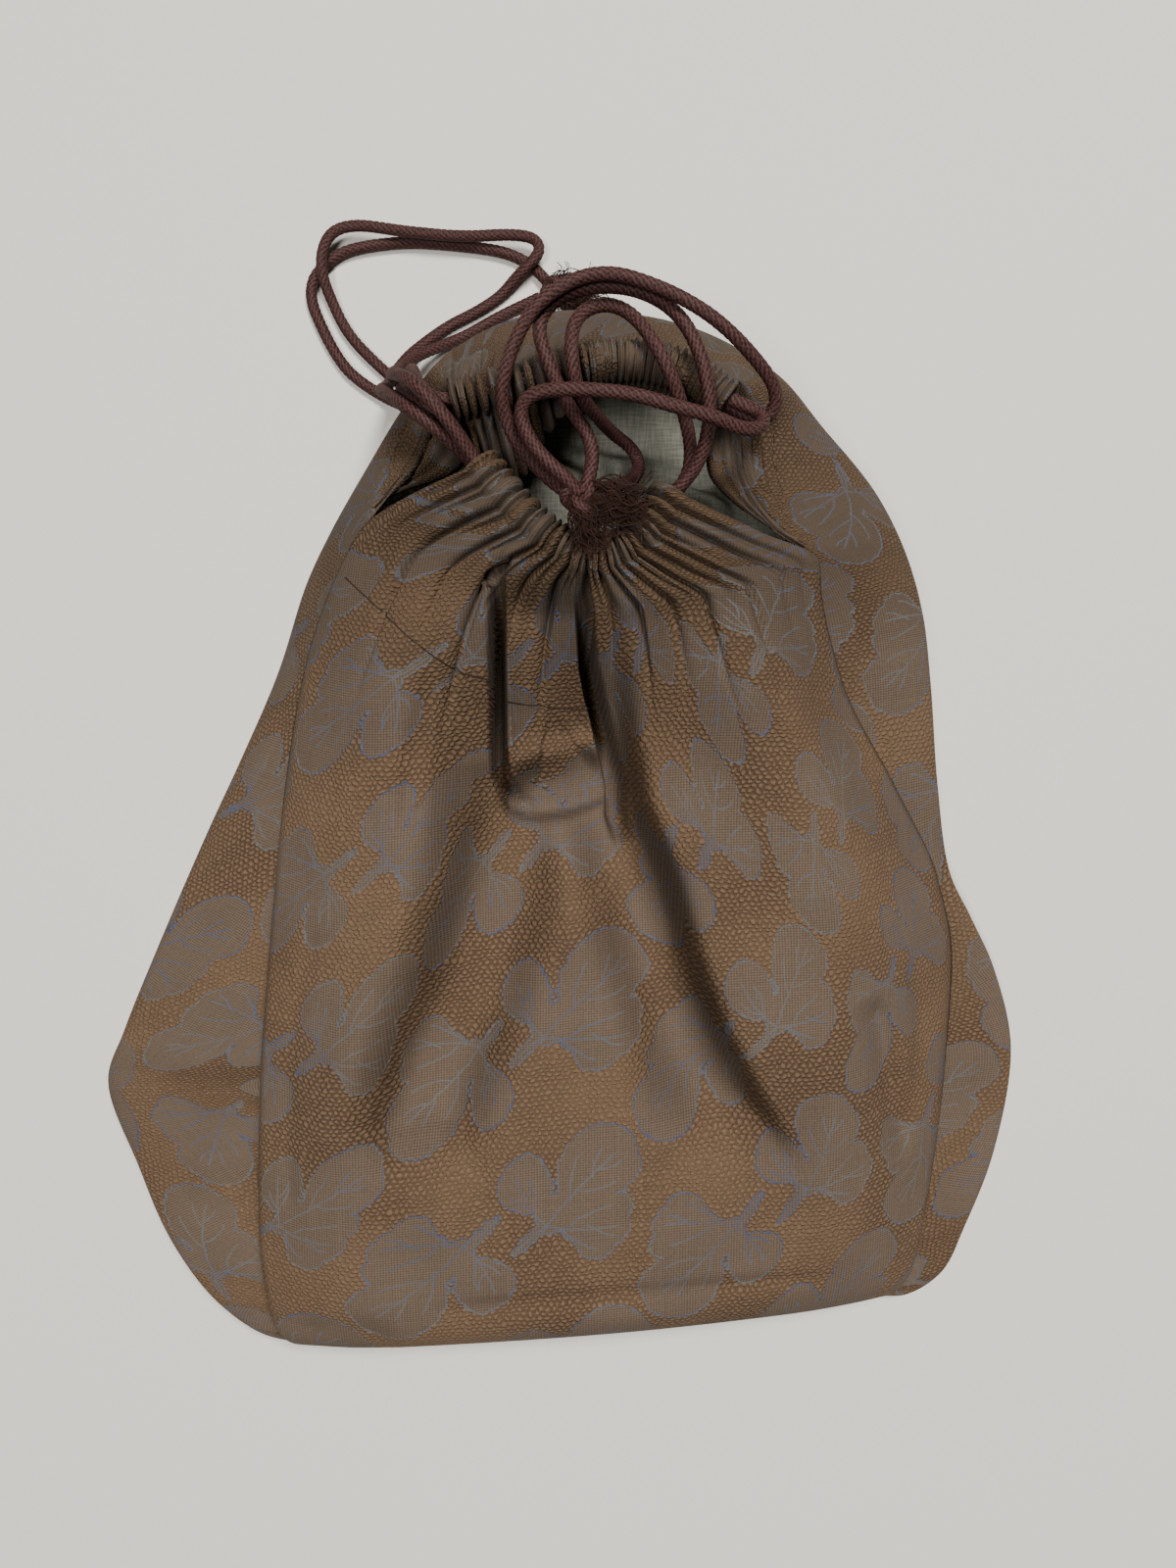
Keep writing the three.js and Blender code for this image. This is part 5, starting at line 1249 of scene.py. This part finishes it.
# The knots: each is an overhand knot in two cord ends, pulled tight, with the ends frayed into a brush
# of crinkled yarn beyond it. One lies on the front rim and one on the floor.
KNOT_STEPS = 160
KNOT_SIZE = 1.75
KNOT_CORD = 4.2
KNOT_FLATNESS = 0.9
YARN = 0.3
YARN_STEPS = 16
YARN_SIDES = 4
YARN_SEED = 7
YARN_SHORTEST = 0.6
YARN_CURL = 0.9
CURL_FROM = 0.35
CRINKLE, CRINKLES = 0.8, (6, 14)
RIPPLE, RIPPLES = 0.6, (6, 12)
ANY_START = (0, 6)
YARN_SCATTER = (-2.2, 2.2)
HEAP_FROM, HEAP_SPAN = 0.15, 0.8
YARN_DROOP = 1.5
YARN_SINK = 2
YARN_TAPER = 0.4
TASSEL_COLUMNS = ("name", "knot", "axis", "floor", "heap", "locks")
LOCK_COLUMNS = ("turn", "spread", "length", "yarns")
TASSELS = [dict(zip(TASSEL_COLUMNS, row)) for row in (
    ("tassel_right", (-2.6, 96.4, 104), (0.88, -0.47, 0.12), 102.6, 6,
     ((-8, 17, 28, 150), (-42, 24, 17, 80), (-74, 18, 23, 110))),
    ("tassel_left", (-14.5, 206.5, 6), (0.95, 0.3, -0.02), 0.5, 5,
     ((10, 20, 26, 60), (35, 40, 15, 60), (-28, 26, 19, 70))),
)]


def knot_path(centre, axis):
    t = np.linspace(0, 2 * math.pi, KNOT_STEPS)
    along = unit(np.array(axis, float))
    aside = unit(np.cross(along, UP))
    lift = np.cross(aside, along)
    x, y, z = np.sin(t) + 2 * np.sin(2 * t), np.cos(t) - 2 * np.cos(2 * t), -np.sin(3 * t)
    return np.array(centre) + KNOT_SIZE * (x[:, None] * along + y[:, None] * aside * KNOT_FLATNESS
                                          + z[:, None] * lift)


def yarn_brush(row, draw):
    """Frayed yarns in locks: each has its own way across the floor, length, curl and crinkle."""
    points, faces = [], []
    shares = np.linspace(0, 1, YARN_STEPS)
    numbers = numbered(YARN_STEPS, YARN_SIDES)
    one_yarn = np.concatenate([quads_between(numbers, closed=True), [numbers[0][::-1], numbers[-1]]])
    for lock in (dict(zip(LOCK_COLUMNS, values)) for values in row["locks"]):
        for _ in range(lock["yarns"]):
            turn = math.radians(lock["turn"] + lock["spread"] * draw.uniform(-1, 1))
            length = lock["length"] * draw.uniform(YARN_SHORTEST, 1.0)
            curl = draw.normal(0, YARN_CURL) * (shares - CURL_FROM) ** 2
            crinkle = CRINKLE * np.sin(draw.uniform(*CRINKLES) * shares + draw.uniform(*ANY_START))
            heading = turn + curl + crinkle
            steps = np.column_stack([np.cos(heading), np.sin(heading)]) * length / (YARN_STEPS - 1)
            plan = np.cumsum(steps, axis=0) + draw.uniform(*YARN_SCATTER, 2)
            arch = np.sin(np.pi * np.clip(shares * HEAP_SPAN + HEAP_FROM, 0, 1))
            rise = row["heap"] * draw.uniform(0, 1) * arch
            rise = rise + RIPPLE * np.sin(draw.uniform(*RIPPLES) * shares + draw.uniform(*ANY_START))
            height = np.maximum(row["knot"][2] - YARN_DROOP * shares + rise - YARN_SINK, row["floor"])
            path = np.column_stack([plan + row["knot"][:2], height])
            thin = (YARN * (1 - YARN_TAPER * shares))[:, None, None]
            faces.append(one_yarn + len(points) * YARN_STEPS * YARN_SIDES)
            points.append((path[:, None] + ways_round(path, YARN_SIDES) * thin).reshape(-1, 3))
    return np.concatenate(points), np.concatenate(faces).tolist()


YARN_DARK = (0.006, 0.003, 0.002, 1)
YARN_LIGHT = (0.036, 0.014, 0.008, 1)
YARN_PATCHES = 260.0


def make_yarn():
    material, tree, shader = new_material("frayed_yarn", 0.75)
    place = add_node(tree, "ShaderNodeTexCoord").outputs["Object"]
    tone = tint(tree, noise(tree, place, YARN_PATCHES), YARN_DARK, YARN_LIGHT)
    tree.links.new(tone, shader.inputs["Base Color"])
    return material


yarn = make_yarn()
for row in TASSELS:
    path = knot_path(row["knot"], row["axis"])
    length = np.linalg.norm(np.diff(path, axis=0), axis=1).sum()
    knot = braided_tube(row["name"] + "_knot", path, KNOT_CORD, length)
    knot.data.materials.append(braid)
    brush = new_piece(row["name"] + "_yarns", *yarn_brush(row, np.random.default_rng(YARN_SEED)))
    brush.data.materials.append(yarn)
    for piece in (knot, brush):
        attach(piece, "root")
    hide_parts(row["name"])

# Floor, light and camera: a plain pale floor, soft light from two lamps above it, and a camera that
# looks straight down on the bag.
FLOOR_HALF = 3000
FLOOR_COLOR = (0.72, 0.70, 0.66, 1)
corners = [(x * FLOOR_HALF, y * FLOOR_HALF, 0) for x, y in ((-1, -1), (1, -1), (1, 1), (-1, 1))]
floor = new_piece("floor", corners, [(0, 1, 2, 3)])
floor_material, _, floor_shader = new_material("pale_floor", 0.9)
floor_shader.inputs["Base Color"].default_value = FLOOR_COLOR
floor.data.materials.append(floor_material)

LIGHT_COLUMNS = ("name", "place", "aim", "size", "power", "color")
LIGHTS = [dict(zip(LIGHT_COLUMNS, row)) for row in (
    ("key", (0.6, 1.2, 2.9), (0, 0.0, 0.03), 0.8, 130, (1.0, 0.97, 0.93)),
    ("fill", (-0.58, -0.6, 3.0), (0, 0, 0.03), 0.7, 64, (1.0, 0.98, 0.95)),
)]
for row in LIGHTS:
    lamp = bpy.data.lights.new(row["name"], "AREA")
    lamp.size = row["size"]
    lamp.energy = row["power"]
    lamp.color = row["color"]
    holder = bpy.data.objects.new(row["name"], lamp)
    way = np.array(row["aim"], float) - np.array(row["place"], float)
    holder.location = row["place"]
    tilt = math.acos(-way[2] / np.linalg.norm(way))
    holder.rotation_euler = (tilt, 0, math.atan2(way[1], way[0]) - math.pi / 2)
    bpy.context.collection.objects.link(holder)

WORLD_COLOR = (1.0, 0.98, 0.95, 1)
WORLD_STRENGTH = 0.03
world = bpy.data.worlds.new("studio")
world.use_nodes = True
backdrop = world.node_tree.nodes["Background"]
backdrop.inputs["Color"].default_value = WORLD_COLOR
backdrop.inputs["Strength"].default_value = WORLD_STRENGTH
bpy.context.scene.world = world

CAMERA_HEIGHT = 0.5
LENS, SENSOR = 27.05, 36
camera_data = bpy.data.cameras.new("camera")
camera_data.sensor_fit = "VERTICAL"
camera_data.sensor_height = SENSOR
camera_data.lens = LENS
camera = bpy.data.objects.new("camera", camera_data)
camera.location = (0, 0, CAMERA_HEIGHT)
bpy.context.collection.objects.link(camera)
bpy.context.scene.camera = camera

bpy.context.view_layer.update()
